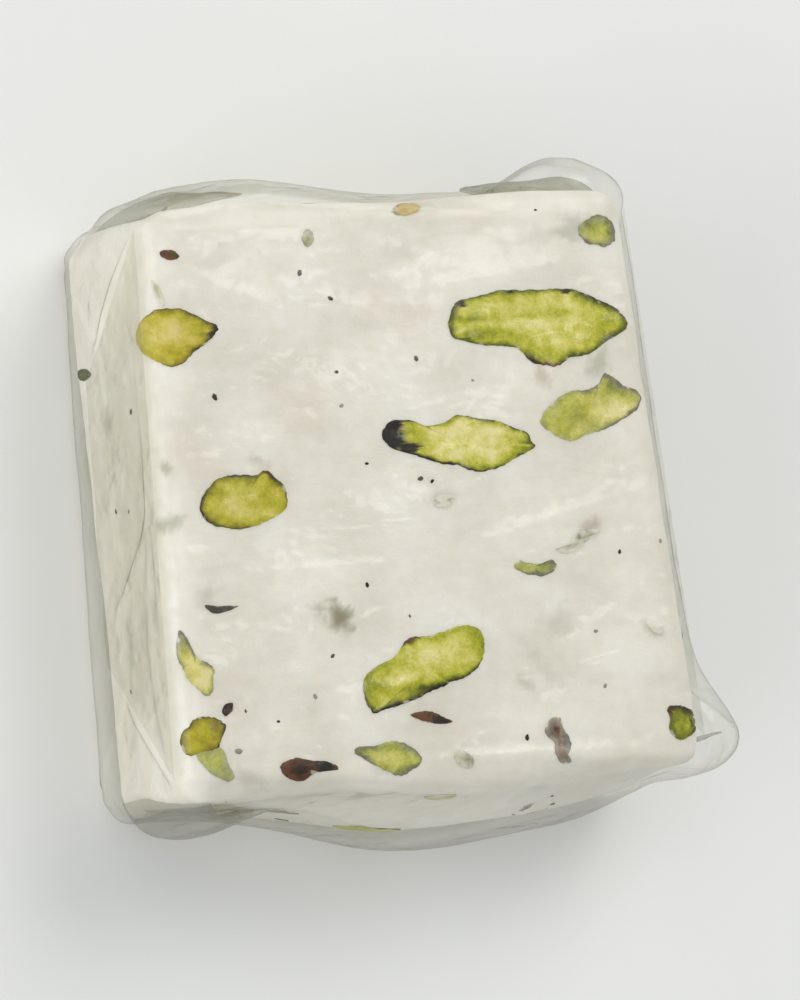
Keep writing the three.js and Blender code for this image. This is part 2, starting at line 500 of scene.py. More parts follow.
@dataclass(frozen=True)
class FilmFinish:
    """Cast polypropylene film, 0.03 mm thick.

    It is clear and glossy, with a trace of haze where it is strained; what shows through it is greyed at a
    slant by a painted shade tint.
    """

    name: str = "clear_wrapping_film"
    tint: str = "fdfdfb"
    haze: str = "f8f8f4"
    # Painted shade: the see-through colour at a slant, which darkens what shows through the film's edges.
    painted_slant_shade: str = "c6c4b8"
    haze_low: float = 0.0
    haze_high: float = 0.014
    head_on: float = 0.024
    edge_on: float = 0.5
    cloud_mm: float = 6.0
    wrinkle_mm: float = 9.0
    wrinkle_depth_mm: float = 0.34
    roughness: float = 0.16

    def material(self) -> bpy.types.Material:
        """Builds the film's material: mostly open, with a mirror that grows at a slant.

        Returns:
            The material.
        """
        material, tree, surface = new_material(self.name)
        place = add_node(tree, "TexCoord").outputs["Object"]
        cloud = add_node(tree, "TexNoise", None, Vector=place, Scale=1 / (self.cloud_mm * MM), Detail=3.0)
        drawn = add_node(
            tree, "Mapping", None, Vector=place, Rotation=(0.0, 0.0, 0.6), Scale=(1.0, 2.6, 1.6)
        )
        wrinkle = add_node(
            tree, "TexNoise", None, Vector=drawn, Scale=1 / (self.wrinkle_mm * MM), Detail=2.0,
            Roughness=0.45, Distortion=0.6
        )
        patchy = add_node(
            tree, "MapRange", {"interpolation_type": "SMOOTHSTEP"}, Value=cloud, From_Min=0.42,
            From_Max=0.62, To_Min=0.25, To_Max=1.0
        )
        height = add_node(tree, "Math", {"operation": "MULTIPLY"}, in0=wrinkle, in1=patchy)
        fold = add_node(
            tree, "Bump", None, Strength=1.0, Distance=self.wrinkle_depth_mm * MM, Height=height
        ).outputs["Normal"]
        facing = add_node(tree, "LayerWeight", None, Blend=0.5, Normal=fold).outputs["Facing"]
        slant = add_node(tree, "Math", {"operation": "POWER"}, in0=facing, in1=4.0)
        mirror = add_node(tree, "Math", MULTIPLY_ADD, in0=slant, in1=self.edge_on, in2=self.head_on)
        haze = add_node(
            tree, "MapRange", None, Value=cloud, From_Min=0.4, From_Max=0.75, To_Min=self.haze_low,
            To_Max=self.haze_high
        )
        # The see-through colour turns to the painted shade tint at a slant.
        through = add_node(
            tree, "Mix", COLOURS, Factor=slant, in6=linear(self.tint), in7=linear(self.painted_slant_shade)
        ).outputs[2]
        open_share = add_node(tree, "BsdfTransparent", None, Color=through)
        milk = add_node(tree, "BsdfDiffuse", None, Color=linear(self.haze))
        gloss = add_node(
            tree, "BsdfGlossy", None, Color=linear("ffffff"), Roughness=self.roughness, Normal=fold
        )
        hazy = add_node(tree, "MixShader", None, in0=haze, in1=open_share, in2=milk)
        film = add_node(tree, "MixShader", None, in0=mirror, in1=hazy, in2=gloss)
        tree.links.new(film.outputs[0], surface)
        return material


@dataclass(frozen=True)
class TableFinish:
    """A matt painted board: pale, faintly uneven."""

    name: str = "pale_painted_board"
    light: str = "f1f1ee"
    shade: str = "ebebe8"
    cloud_mm: float = 1000 / 14
    roughness: float = 0.7

    def material(self) -> bpy.types.Material:
        """Builds the table's material.

        Returns:
            The material.
        """
        material, tree, surface = new_material(self.name)
        place = add_node(tree, "TexCoord").outputs["Object"]
        cloud = add_node(tree, "TexNoise", None, Vector=place, Scale=1 / (self.cloud_mm * MM), Detail=3.0)
        stops = ((0.35, self.shade), (0.65, self.light))
        tint = add_node(tree, "ValToRGB", {"stops": stops}, Fac=cloud)
        shader = add_node(tree, "BsdfPrincipled", None, Base_Color=tint, Roughness=self.roughness)
        tree.links.new(shader.outputs["BSDF"], surface)
        return material


# --- Nut pieces ------------------------------------------------------------------------------------------


# The share of the way round that an outline's tangent is taken over, to each side.
OUTLINE_STEP = 0.004


@dataclass(frozen=True)
class NutCut:
    """One piece of pistachio that the knife has cut through, seen in a side of the block.

    Attributes:
        at: Its middle, across and up from the middle of the side.
        knots: Points of its outline, from its middle, or none for a plain lens.
        size: The lens's length and width.
        turn: How far it is turned, in degrees.
        grow: How many times larger it is than it is drawn.
        flip: True to mirror it.
        ends: How round the lens's left and right ends are, from 0, a point, to 1.
        tone: From 0, a pale heart, to 1, green through.
        ripe: From 0 to 1, how ochre the flesh is.
        patches: Place, radii and added tone of greener or paler patches.
        rims: Direction in degrees, width and spread in degrees of each stretch of dark rim.
        skins: Direction, width, spread and warmth of each stretch of skin, near-black at 0, red-brown at 1.
        spots: Place, radii and warmth of each patch of skin that lies over the flesh.
        veil: How far the sweet smears over it, from 0 to 1.
        side: The side that it shows in.
    """

    at: tuple[float, float]
    knots: tuple[tuple[float, float], ...] = ()
    size: tuple[float, float] = (1.0, 1.0)
    turn: float = 0.0
    grow: float = 1.0
    flip: bool = False
    ends: tuple[float, float] = (0.4, 0.4)
    tone: float = 0.25
    ripe: float = 0.0
    patches: tuple[tuple[float, float, float, float, float], ...] = ()
    rims: tuple[tuple[float, float, float], ...] = ()
    skins: tuple[tuple[float, float, float, float], ...] = ()
    spots: tuple[tuple[float, float, float, float, float], ...] = ()
    veil: float = 0.0
    side: Side = Side.FACE

    @property
    def length(self) -> float:
        """The piece's length."""
        drawn = 2 * max(math.hypot(*knot) for knot in self.knots) if self.knots else self.size[0]
        return drawn * self.grow

    def laid(self, spot: Vector) -> Vector:
        """A drawn point as it lies in its side, from the piece's middle."""
        drawn = Vector((spot.x, -spot.y if self.flip else spot.y)) * self.grow
        return Matrix.Rotation(math.radians(self.turn), 2) @ drawn

    def edge(self, share: float) -> Vector:
        """The outline's point at a share of the way round: a smooth curve through the knots, or the lens.

        Args:
            share: The share of the way round.

        Returns:
            The point from the piece's middle.
        """
        if not self.knots:
            return self.lens(share * math.tau)
        place = share * len(self.knots)
        first = math.floor(place)
        t = place - first
        a, b, c, d = (Vector(self.knots[(first + k) % len(self.knots)]) for k in (-1, 0, 1, 2))
        smooth = 2 * b + (c - a) * t + (2 * a - 5 * b + 4 * c - d) * t * t + (3 * b - a - 3 * c + d) * t**3
        return smooth / 2

    def lens(self, angle: float) -> Vector:
        """The outline of a plain lens.

        Args:
            angle: The angle round it, in radians.

        Returns:
            The point from the piece's middle.
        """
        cos, sin = math.cos(angle), math.sin(angle)
        roundness = self.ends[1] if cos > 0 else self.ends[0]
        wide = math.copysign(max(0.0, 1 - abs(cos) ** 2.1) ** (1 / (1 + roundness)), sin)
        return Vector((cos * self.size[0] / 2, wide * self.size[1] / 2))

    def outline(self, share: float, seed: float) -> tuple[Vector, float]:
        """The uneven drawn outline at a share of the way round, and how far in the middle lies from it.

        Args:
            share: The share of the way round, from 0 to 1.
            seed: Moves the small unevenness.

        Returns:
            The point from the piece's middle, and the distance from the middle to the outline's tangent.
        """
        before, point, after = (self.edge(share + step) for step in (-OUTLINE_STEP, 0.0, OUTLINE_STEP))
        run = after - before
        inward = abs(point.x * run.y - point.y * run.x) / max(run.length, 1e-6)
        rough = noise.noise(Vector((point.x * 0.9, point.y * 0.9, seed)))
        fine = noise.noise(Vector((point.x * 3.4, point.y * 3.4, seed + 9.0)))
        reach = max(point.length, 0.1)
        return point * (1 + (0.14 * rough + 0.15 * fine) / (reach + 0.6)), inward


# A spread in degrees so wide that a stretch of skin goes all the way round.
ALL_ROUND = 400.0

BIG_KERNEL = NutCut(
    (13.2, 13.6),
    (
        (-8.7, -0.2), (-8.6, 1.0), (-8.0, 2.2), (-7.0, 2.6), (-5.1, 2.9), (-3.2, 3.3), (-1.0, 3.2),
        (1.5, 3.1), (3.6, 3.1), (5.4, 2.5), (7.2, 1.6), (8.4, 0.8), (9.1, -0.2), (8.7, -0.9), (7.3, -1.6),
        (5.9, -2.3), (4.6, -2.9), (3.0, -3.1), (1.8, -3.7), (0.3, -3.6), (-1.1, -3.1), (-2.2, -2.0),
        (-3.8, -1.7), (-5.8, -1.5), (-7.6, -1.0), (-8.3, -0.8)
    ), tone=0.12,
    patches=(
        (-5.0, -0.5, 2.8, 0.6, 0.30), (-6.6, 0.8, 1.3, 0.4, 0.22), (7.0, 0.0, 1.2, 1.2, 0.24),
        (-0.5, 0.85, 6.0, 0.3, 0.16), (-0.5, 0.1, 5.5, 0.45, -0.20), (2.0, -1.8, 1.8, 0.9, -0.14),
        (5.0, 0.6, 1.6, 1.0, -0.14), (-1.0, 1.8, 5.0, 0.4, -0.10), (-1.0, -2.6, 2.2, 0.7, 0.40)
    ),
    rims=((172, 0.8, 12), (20, 0.75, 20), (-10, 0.7, 14), (-40, 0.3, 25), (100, 0.2, 60), (-165, 0.14, 20)),
    skins=((-105, 0.7, 12, 0.25), (-78, 0.4, 12, 0.8), (14, 0.2, 10, 0.1)),
    spots=((-7.2, 2.2, 0.5, 0.35, 0.1), (3.3, 2.9, 0.5, 0.3, 0.1), (-2.4, 3.1, 0.35, 0.2, 0.1))
)

DIAMOND = NutCut(
    (4.2, 3.7),
    (
        (-7.4, 0.5), (-7.3, 1.4), (-6.5, 2.1), (-5.4, 2.15), (-4.3, 2.0), (-3.7, 1.6), (-2.5, 1.5),
        (-1.2, 1.8), (0.0, 2.3), (1.0, 2.1), (2.5, 1.85), (4.2, 1.5), (5.5, 0.9), (6.8, 0.4), (7.1, -0.4),
        (7.5, -0.9), (6.6, -1.3), (5.2, -1.9), (3.8, -2.5), (2.3, -2.8), (0.8, -2.6), (-0.6, -2.1),
        (-2.2, -1.9), (-3.7, -1.3), (-5.2, -0.8), (-6.4, -0.4)
    ), tone=-0.12,
    patches=((-4.2, 0.4, 1.4, 1.4, 0.55), (5.8, -0.4, 1.4, 0.9, 0.30), (1.8, -1.9, 3.0, 0.5, 0.12)),
    rims=((-70, 0.5, 50), (-15, 0.5, 18), (30, 0.35, 30), (110, 0.25, 30), (-150, 0.35, 20)),
    skins=((-158, 0.34, 16, 0.0), (-125, 0.26, 24, 0.0), (-75, 0.14, 30, 0.0), (165, 0.4, 8, 0.0)),
    spots=((-6.4, 0.9, 1.5, 1.7, 0.0), (-4.9, -0.3, 1.2, 0.5, 0.0))
)

FRAGMENT = NutCut(
    (17.5, 5.8),
    (
        (-5.1, -0.8), (-4.7, -0.1), (-4.0, 0.6), (-2.9, 1.3), (-1.5, 1.8), (0.2, 1.8), (1.2, 2.3),
        (1.9, 3.2), (2.7, 2.8), (3.6, 2.0), (4.7, 1.6), (5.3, 0.9), (4.9, -0.1), (4.1, -0.6), (2.7, -1.3),
        (1.2, -1.8), (-0.5, -2.2), (-2.1, -2.7), (-3.3, -2.3), (-4.3, -1.7), (-4.9, -1.3)
    ), tone=0.22,
    patches=((-1.0, -0.4, 1.6, 1.1, 0.14), (2.4, -0.2, 2.2, 1.2, -0.42), (3.3, 1.6, 1.3, 0.5, 0.3)),
    rims=((45, 0.6, 16), (85, 0.2, 30), (-30, 0.2, 30)),
    skins=((-4, 0.4, 10, 1.0), (-20, 0.16, 16, 1.0), (18, 0.3, 8, 0.7)), veil=0.10
)

TEARDROP = NutCut(
    (-22.1, 14.3),
    (
        (-3.9, 0.2), (-3.5, 1.2), (-2.6, 1.9), (-1.4, 2.4), (0.0, 2.4), (1.4, 2.1), (2.8, 1.4), (3.8, 0.9),
        (4.2, 0.4), (3.6, -0.2), (2.6, -1.0), (1.5, -1.6), (0.4, -2.5), (-0.8, -2.6), (-2.1, -2.1),
        (-3.1, -1.5), (-3.7, -0.7)
    ), tone=0.16, ripe=0.6,
    patches=((-0.6, 0.5, 2.6, 1.0, -0.28), (-0.2, -1.4, 1.8, 0.8, 0.16), (2.6, 0.2, 1.0, 0.8, 0.15)),
    rims=((5, 0.8, 16), (50, 0.4, 22), (112, 0.3, 26), (-40, 0.55, 18), (-85, 0.18, 30)),
    skins=((4, 0.7, 7, 0.1),)
)

OVAL = NutCut(
    (-17.3, -0.4),
    (
        (-4.3, -0.4), (-3.9, 0.6), (-3.2, 1.4), (-2.3, 2.0), (-1.1, 2.3), (0.3, 2.25), (1.5, 2.2),
        (2.3, 2.6), (3.1, 2.0), (3.9, 1.2), (4.1, 0.5), (4.0, -0.6), (3.3, -1.3), (2.1, -1.8), (0.9, -2.2),
        (-0.8, -2.4), (-2.3, -2.2), (-3.4, -1.8), (-4.0, -1.2)
    ), tone=0.16, ripe=0.5,
    patches=(
        (-0.6, -0.4, 1.9, 1.0, -0.25), (-2.2, 0.6, 0.8, 0.5, 0.2), (2.2, -0.2, 1.3, 0.6, 0.2),
        (1.4, -1.2, 1.5, 0.4, -0.15)
    ),
    rims=((165, 0.45, 22), (-158, 0.5, 18), (112, 0.4, 28), (70, 0.4, 22), (22, 0.6, 16), (-108, 0.25, 22)),
    skins=((35, 0.4, 10, 0.3), (95, 0.14, 26, 0.1), (-170, 0.14, 20, 0.1)),
    spots=((2.5, 2.5, 0.5, 0.25, 0.6),)
)

SLANTED = NutCut(
    (-1.7, -16.0),
    (
        (-6.1, -2.2), (-6.1, -1.0), (-5.6, -0.1), (-4.3, 0.6), (-2.9, 1.1), (-2.0, 2.0), (-1.1, 2.7),
        (0.4, 2.8), (2.1, 3.0), (3.5, 3.4), (4.9, 3.4), (5.8, 2.8), (6.1, 1.6), (5.8, 0.6), (4.9, -0.5),
        (3.8, -1.1), (2.3, -1.5), (0.5, -2.1), (-1.3, -2.7), (-2.9, -3.1), (-4.5, -3.4), (-5.3, -3.6),
        (-5.8, -3.1)
    ), tone=0.16,
    patches=(
        (-5.0, -1.2, 1.2, 1.4, 0.20), (5.2, 2.2, 1.1, 1.6, 0.20), (-0.6, -1.75, 2.6, 0.4, 0.5),
        (1.6, 1.1, 2.6, 1.0, -0.30), (-2.2, -0.3, 2.0, 0.8, -0.20)
    ), rims=((-60, 0.7, 32), (-25, 0.5, 18), (-110, 0.6, 22), (-145, 0.6, 12), (112, 0.3, 16)),
    skins=((116, 0.45, 12, 0.85), (-62, 0.3, 32, 0.0), (-135, 0.35, 12, 0.0))
)

SLIVER = NutCut(
    (-23.6, -14.4),
    (
        (-1.3, 3.2), (-0.7, 2.7), (-0.3, 1.8), (0.2, 0.7), (1.1, 0.2), (1.7, -0.4), (1.5, -1.3),
        (1.2, -2.4), (0.7, -2.7), (0.0, -2.1), (-0.8, -1.3), (-1.3, -0.2), (-1.7, 0.8), (-1.6, 1.9)
    ), tone=-0.02, ripe=0.35, patches=((-0.9, 2.2, 0.9, 1.2, 0.5), (0.5, -1.2, 0.8, 1.3, -0.15)),
    rims=((110, 0.6, 16), (165, 0.3, 18), (5, 0.35, 22), (-60, 0.12, 30)),
    skins=((112, 0.4, 7, 0.3), (8, 0.22, 12, 0.3)), veil=0.12
)

BLOB = NutCut(
    (-23.7, -20.4),
    (
        (-2.2, -0.6), (-2.0, 0.3), (-1.3, 0.9), (-0.6, 1.5), (0.4, 1.6), (1.6, 1.3), (2.3, 0.7), (2.0, 0.0),
        (1.6, -0.7), (1.1, -1.4), (0.0, -1.6), (-1.2, -1.7), (-1.9, -1.4)
    ), tone=0.34, ripe=0.6, patches=((1.3, 0.6, 0.8, 0.9, 0.25),),
    rims=((120, 0.28, 50), (20, 0.4, 26), (-60, 0.35, 24), (-160, 0.2, 30)), skins=((-45, 0.16, 18, 0.3),)
)

BLOB_TAIL = NutCut(
    (-22.7, -23.2),
    ((-1.8, 1.2), (-0.2, 1.7), (0.8, 1.5), (1.1, 0.2), (1.6, -1.0), (0.8, -1.3), (0.0, -0.9), (-1.0, -0.1)),
    tone=0.28, patches=((0.8, -0.6, 0.7, 0.8, 0.22),), veil=0.16
)

BROWN_TEARDROP = NutCut(
    (-14.4, -24.0),
    (
        (-2.3, 0.3), (-1.8, 0.8), (-0.6, 1.0), (0.8, 0.7), (2.2, 0.5), (3.3, -0.2), (2.2, -0.3),
        (1.0, -0.4), (0.2, -0.8), (-0.8, -1.0), (-1.8, -0.6)
    ), tone=0.9, spots=((1.9, 0.1, 1.1, 0.7, 0.0), (-0.4, 0.0, 1.0, 0.5, 0.1)),
    skins=((180, 0.5, 70, 0.8), (0, 9.0, ALL_ROUND, 0.45))
)

GREEN_PIECE = NutCut(
    (-5.8, -23.7),
    (
        (-3.6, 0.8), (-3.0, 1.3), (-1.6, 1.2), (-0.3, 1.5), (1.0, 1.3), (2.0, 0.8), (2.7, 0.0), (2.6, -0.6),
        (1.8, -1.1), (0.7, -1.5), (-0.4, -1.2), (-1.4, -0.7), (-2.4, -0.1)
    ), tone=0.24, patches=((0.2, 0.0, 0.9, 0.6, -0.25), (-2.6, 0.7, 0.8, 0.5, 0.15)),
    rims=((-50, 0.45, 30), (20, 0.3, 25), (165, 0.25, 20)), veil=0.10
)

BROWN_SLIVER = NutCut(
    (-1.8, -20.4),
    (
        (-1.8, 0.4), (-0.6, 0.6), (0.6, 0.4), (1.4, -0.1), (2.2, -0.5), (1.0, -0.6), (-0.2, -0.4),
        (-1.2, 0.0)
    ), tone=0.9, spots=((1.1, -0.3, 0.9, 0.5, 0.1),), skins=((0, 9.0, ALL_ROUND, 0.85),)
)

BROWN_SKIN = NutCut(
    (10.6, -23.2),
    (
        (-1.3, 1.0), (-0.6, 1.8), (0.4, 1.9), (0.6, 0.9), (1.0, 0.2), (1.2, -0.6), (0.8, -1.3), (1.0, -2.1),
        (0.0, -2.1), (-0.5, -1.2), (-0.5, -0.2), (-1.1, 0.4)
    ), tone=0.5,
    spots=((0.7, -0.3, 0.5, 0.6, 0.0), (-0.9, 0.6, 0.4, 0.5, 0.15), (0.6, -1.8, 0.5, 0.35, 0.0)),
    skins=((0, 9.0, ALL_ROUND, 1.0),), veil=0.16
)

GREEN_CORNER = NutCut(
    (23.2, -22.5),
    (
        (-1.4, 1.4), (-0.2, 1.5), (0.8, 1.1), (1.5, 0.5), (1.7, -0.3), (1.1, -0.9), (0.3, -1.4),
        (-0.6, -1.6), (-1.2, -1.1), (-1.5, -0.4), (-1.3, 0.4)
    ), tone=0.55, patches=((0.3, -0.2, 0.7, 0.6, -0.2),), rims=((60, 0.6, 40), (-10, 0.5, 30)),
    skins=((128, 0.7, 26, 0.35), (70, 0.2, 24, 0.1))
)

GREEN_BIT = NutCut(
    (10.3, -7.9),
    (
        (-2.2, 0.2), (-1.5, 0.7), (-0.5, 0.4), (0.5, 0.3), (1.6, 0.6), (2.1, 0.0), (1.6, -0.5), (0.4, -0.8),
        (-0.7, -0.6), (-1.5, -0.3)
    ), tone=0.42, rims=((-90, 0.4, 50), (10, 0.6, 20)), veil=0.10
)

BROWN_STREAK = NutCut(
    (15.0, -5.8),
    (
        (-2.6, -0.6), (-1.2, -0.3), (-0.7, 0.4), (0.0, 0.8), (1.2, 1.0), (2.2, 0.8), (1.2, 0.3),
        (0.4, -0.2), (-0.2, -0.7), (-1.4, -1.1)
    ), tone=0.7, skins=((90, 0.6, 60, 0.3),), veil=0.42
)

DARK_SLIVER = NutCut(
    (-20.7, -9.6),
    ((-1.5, 0.4), (-0.7, 0.3), (0.1, 0.2), (1.0, 0.2), (1.7, 0.1), (0.8, -0.2), (-0.3, -0.4), (-1.0, -0.2)),
    tone=0.9, skins=((180, 9.0, 120, 0.0),), veil=0.05
)

TOP_GREEN = NutCut(
    (20.3, 21.7),
    (
        (-1.9, 0.3), (-1.0, 1.0), (0.2, 1.5), (1.3, 1.1), (1.8, 0.3), (1.7, -0.7), (0.9, -1.4),
        (-0.3, -1.2), (-1.3, -0.9)
    ), tone=0.28, patches=((-0.6, 0.4, 0.9, 0.6, 0.25),), rims=((0, 0.3, 80),),
    skins=((-145, 0.35, 22, 0.6),), veil=0.12
)

FACE_NUTS = (
    BIG_KERNEL, DIAMOND, FRAGMENT, TEARDROP, OVAL, SLANTED, SLIVER, BLOB, BLOB_TAIL, BROWN_TEARDROP,
    GREEN_PIECE, BROWN_SLIVER, BROWN_SKIN, GREEN_CORNER, GREEN_BIT, BROWN_STREAK, DARK_SLIVER, TOP_GREEN,
    NutCut(
        (1.1, -24.3), size=(2.1, 1.4), turn=-35, ends=(0.7, 0.7), tone=0.6, skins=((-60, 0.4, 40, 0.9),),
        veil=0.35
    ),
    NutCut(
        (1.6, 24.5), size=(2.9, 1.2), turn=4, tone=0.3, ripe=1.0, skins=((180, 0.4, 30, 1.0),), veil=0.15
    ), NutCut((-21.8, 21.4), size=(1.9, 0.9), turn=-10, tone=0.9, skins=((180, 9.0, 90, 0.85),)),
    NutCut((-8.3, 22.3), size=(1.7, 1.2), turn=80, ends=(0.2, 0.7), tone=0.5, veil=0.25),
    NutCut((-23.3, 18.1), size=(2.6, 0.7), turn=-70, tone=0.5, veil=0.5),
    NutCut((2.0, -1.5), size=(2.2, 1.2), turn=12, tone=0.7, skins=((0, 9.0, ALL_ROUND, 1.0),), veil=0.65),
    NutCut((21.4, -13.9), size=(2.0, 0.9), turn=-40, tone=0.5, ripe=0.5, veil=0.6)
)

WHOLE_KINDS = (BIG_KERNEL, DIAMOND, FRAGMENT, TEARDROP, OVAL, SLANTED)

BROKEN_KINDS = (
    TEARDROP, OVAL, SLIVER, BLOB, BROWN_TEARDROP, GREEN_PIECE, BROWN_SKIN, GREEN_CORNER, GREEN_BIT
)

LEFT_NUTS = (
    NutCut((-13.5, -6.6), size=(3.0, 1.1), turn=82, tone=0.8, skins=((180, 0.4, 60, 0.1),), side=Side.LEFT),
)


@dataclass(frozen=True)
class Stain:
    """A nut piece that lies under a thin skin of sweet and only tints it.

    Attributes:
        at: Its middle, across and up from the middle of the side.
        size: Its length and width.
        turn: The slant of its length, in degrees.
        depth: How strongly it shows, from 0 to 1.
        brown: True for skin, which shows brown, and False for flesh, which shows green.
        side: The side that it shows in.
    """

    at: tuple[float, float]
    size: tuple[float, float]
    turn: float = 0.0
    depth: float = 0.4
    brown: bool = False
    side: Side = Side.FACE


FACE_STAINS = (
    Stain((-9.4, -11.0), (3.2, 2.5), -30, 0.85), Stain((-9.2, -11.3), (2.4, 1.5), -40, 0.45, brown=True),
    Stain((-11.0, -10.2), (3.2, 1.2), -15, 0.45), Stain((19.0, 9.8), (3.4, 2.6), 60, 0.45),
    Stain((18.0, 22.0), (4.4, 2.6), 15, 0.4), Stain((12.1, -13.0), (4.0, 3.4), 30, 0.22),
    Stain((8.2, -18.0), (2.2, 1.6), -40, 0.32), Stain((21.3, -14.0), (2.6, 1.2), -30, 0.4),
    Stain((-24.2, -1.9), (2.6, 1.5), 15, 0.5), Stain((-21.6, -8.4), (3.0, 1.6), 40, 0.35),
    Stain((13.4, 8.9), (2.6, 1.4), -60, 0.35, brown=True),
    Stain((16.4, -4.6), (3.2, 1.6), 25, 0.4, brown=True),
    Stain((1.9, -1.5), (3.0, 2.0), 10, 0.25, brown=True),
    Stain((-15.2, 3.0), (2.4, 1.2), -20, 0.45, brown=True), Stain((-19.6, -24.5), (3.6, 1.6), -30, 0.25),
    Stain((3.6, 25.0), (3.2, 1.2), 5, 0.2), Stain((15.0, 21.6), (5.0, 2.4), 10, 0.14),
    Stain((9.8, -16.0), (5.0, 1.6), -50, 0.15), Stain((0.5, 21.0), (7.0, 2.0), 5, 0.10),
    Stain((-6.5, -24.4), (3.0, 1.5), 5, 0.2)
)

LEFT_STAINS = (
    Stain((-8.6, -2.5), (2.6, 2.6), 20, 0.5, side=Side.LEFT),
    Stain((19.5, -3.2), (3.2, 2.2), -30, 0.28, side=Side.LEFT),
    Stain((-3.0, 8.2), (1.6, 0.8), 20, 0.5, side=Side.LEFT)
)

FACE_CRUMBS = (
    (-7.0, 10.4), (-6.9, 7.4), (0.0, 0.6), (1.1, 0.3), (15.8, -18.8), (-10.5, -14.4), (-16.4, -19.7),
    (18.8, -7.0), (15.5, -13.9), (0.9, 11.2), (6.2, 9.0), (-5.1, 2.2), (14.4, 23.9), (-6.8, 16.9),
    (-6.4, -8.4), (-2.6, -11.4), (7.5, -22.8), (-9.5, 19.3), (-12.6, -17.8), (23.0, -6.3), (-19.4, -18.6)
)


@dataclass
class NutScatter:
    """Chooses nut pieces for the other sides at random, of the same kinds as the show face has.

    Attributes:
        shape: The bar.
        seed: What the random draws start from.
        spare: The bare strip round the edges of a side.
        lengths: The least and greatest length of large, middling and small pieces.
        widths: The least and greatest width, as a share of the length.
        tries: How many places are tried for each piece.
        spacing: The least distance between two middles, as a share of their lengths' sum.
        low_side: Half the height of a side that is too low for steep pieces.
    """

    shape: BarShape
    seed: int = 7
    spare: float = 1.6
    lengths: tuple[tuple[float, float], ...] = ((9.0, 17.0), (4.0, 8.0), (1.4, 3.2))
    widths: tuple[float, float] = (0.34, 0.62)
    tries: int = 12
    spacing: float = 0.55
    low_side: float = 12.0

    def room(self, side: Side) -> tuple[float, float]:
        """Half the width and height of a side that nut pieces may take."""
        half = self.shape.middle
        return (abs(side.across.dot(half)) - self.spare, abs(side.up.dot(half)) - self.spare)

    def cuts(self, side: Side, counts: tuple[int, int, int]) -> tuple[NutCut, ...]:
        """Places large, middling and small pieces on a side, clear of each other.

        Args:
            side: The side.
            counts: How many large, middling and small pieces to try to place.

        Returns:
            The pieces.
        """
        draw = random.Random(self.seed + list(Side).index(side) * 31)
        wide, tall = self.room(side)
        placed: list[NutCut] = []
        for count, (low, high) in zip(counts, self.lengths, strict=True):
            for _ in range(count * self.tries):
                if count == 0:
                    break
                length = draw.uniform(low, high)
                width = length * draw.uniform(*self.widths)
                turn = draw.uniform(-30, 30) if tall < self.low_side else draw.uniform(-75, 75)
                x_reach = wide - abs(math.cos(math.radians(turn))) * length / 2
                y_reach = tall - abs(math.sin(math.radians(turn))) * length / 2 - width / 2
                if x_reach <= 0 or y_reach <= 0:
                    continue
                at = (draw.uniform(-x_reach, x_reach), draw.uniform(-y_reach, y_reach))
                if any(math.dist(at, near.at) < (length + near.length) * self.spacing for near in placed):
                    continue
                kind = draw.choice(WHOLE_KINDS if length > 7 else BROKEN_KINDS)
                placed.append(
                    replace(
                        kind, at=at, turn=turn, grow=length / kind.length, flip=draw.random() < 0.5,
                        tone=kind.tone + draw.uniform(-0.08, 0.15), ripe=draw.choice((0.0, 0.0, 0.2, 0.5)),
                        veil=draw.uniform(0.0, 0.35) if length < 4 else draw.choice((0.0, 0.05, 0.1, 0.2)),
                        side=side
                    )
                )
                count -= 1
        return tuple(placed)

    def stains(self, side: Side, count: int) -> tuple[Stain, ...]:
        """Places covered pieces on a side.

        Args:
            side: The side.
            count: How many.

        Returns:
            The stains.
        """
        draw = random.Random(self.seed * 3 + list(Side).index(side) * 17)
        wide, tall = self.room(side)
        return tuple(
            Stain(
                (draw.uniform(-wide, wide), draw.uniform(-tall, tall)),
                (draw.uniform(2.0, 5.0), draw.uniform(1.2, 2.8)), draw.uniform(-90, 90),
                draw.uniform(0.15, 0.55), draw.random() < 0.3, side
            ) for _ in range(count)
        )

    def crumbs(self, side: Side, count: int) -> list[tuple[float, float]]:
        """Places crumbs on a side.

        Args:
            side: The side.
            count: How many.

        Returns:
            Their middles, across and up from the middle of the side.
        """
        draw = random.Random(self.seed * 5 + list(Side).index(side) * 13)
        wide, tall = self.room(side)
        return [(draw.uniform(-wide, wide), draw.uniform(-tall, tall)) for _ in range(count)]


# --- The nougat block ------------------------------------------------------------------------------------


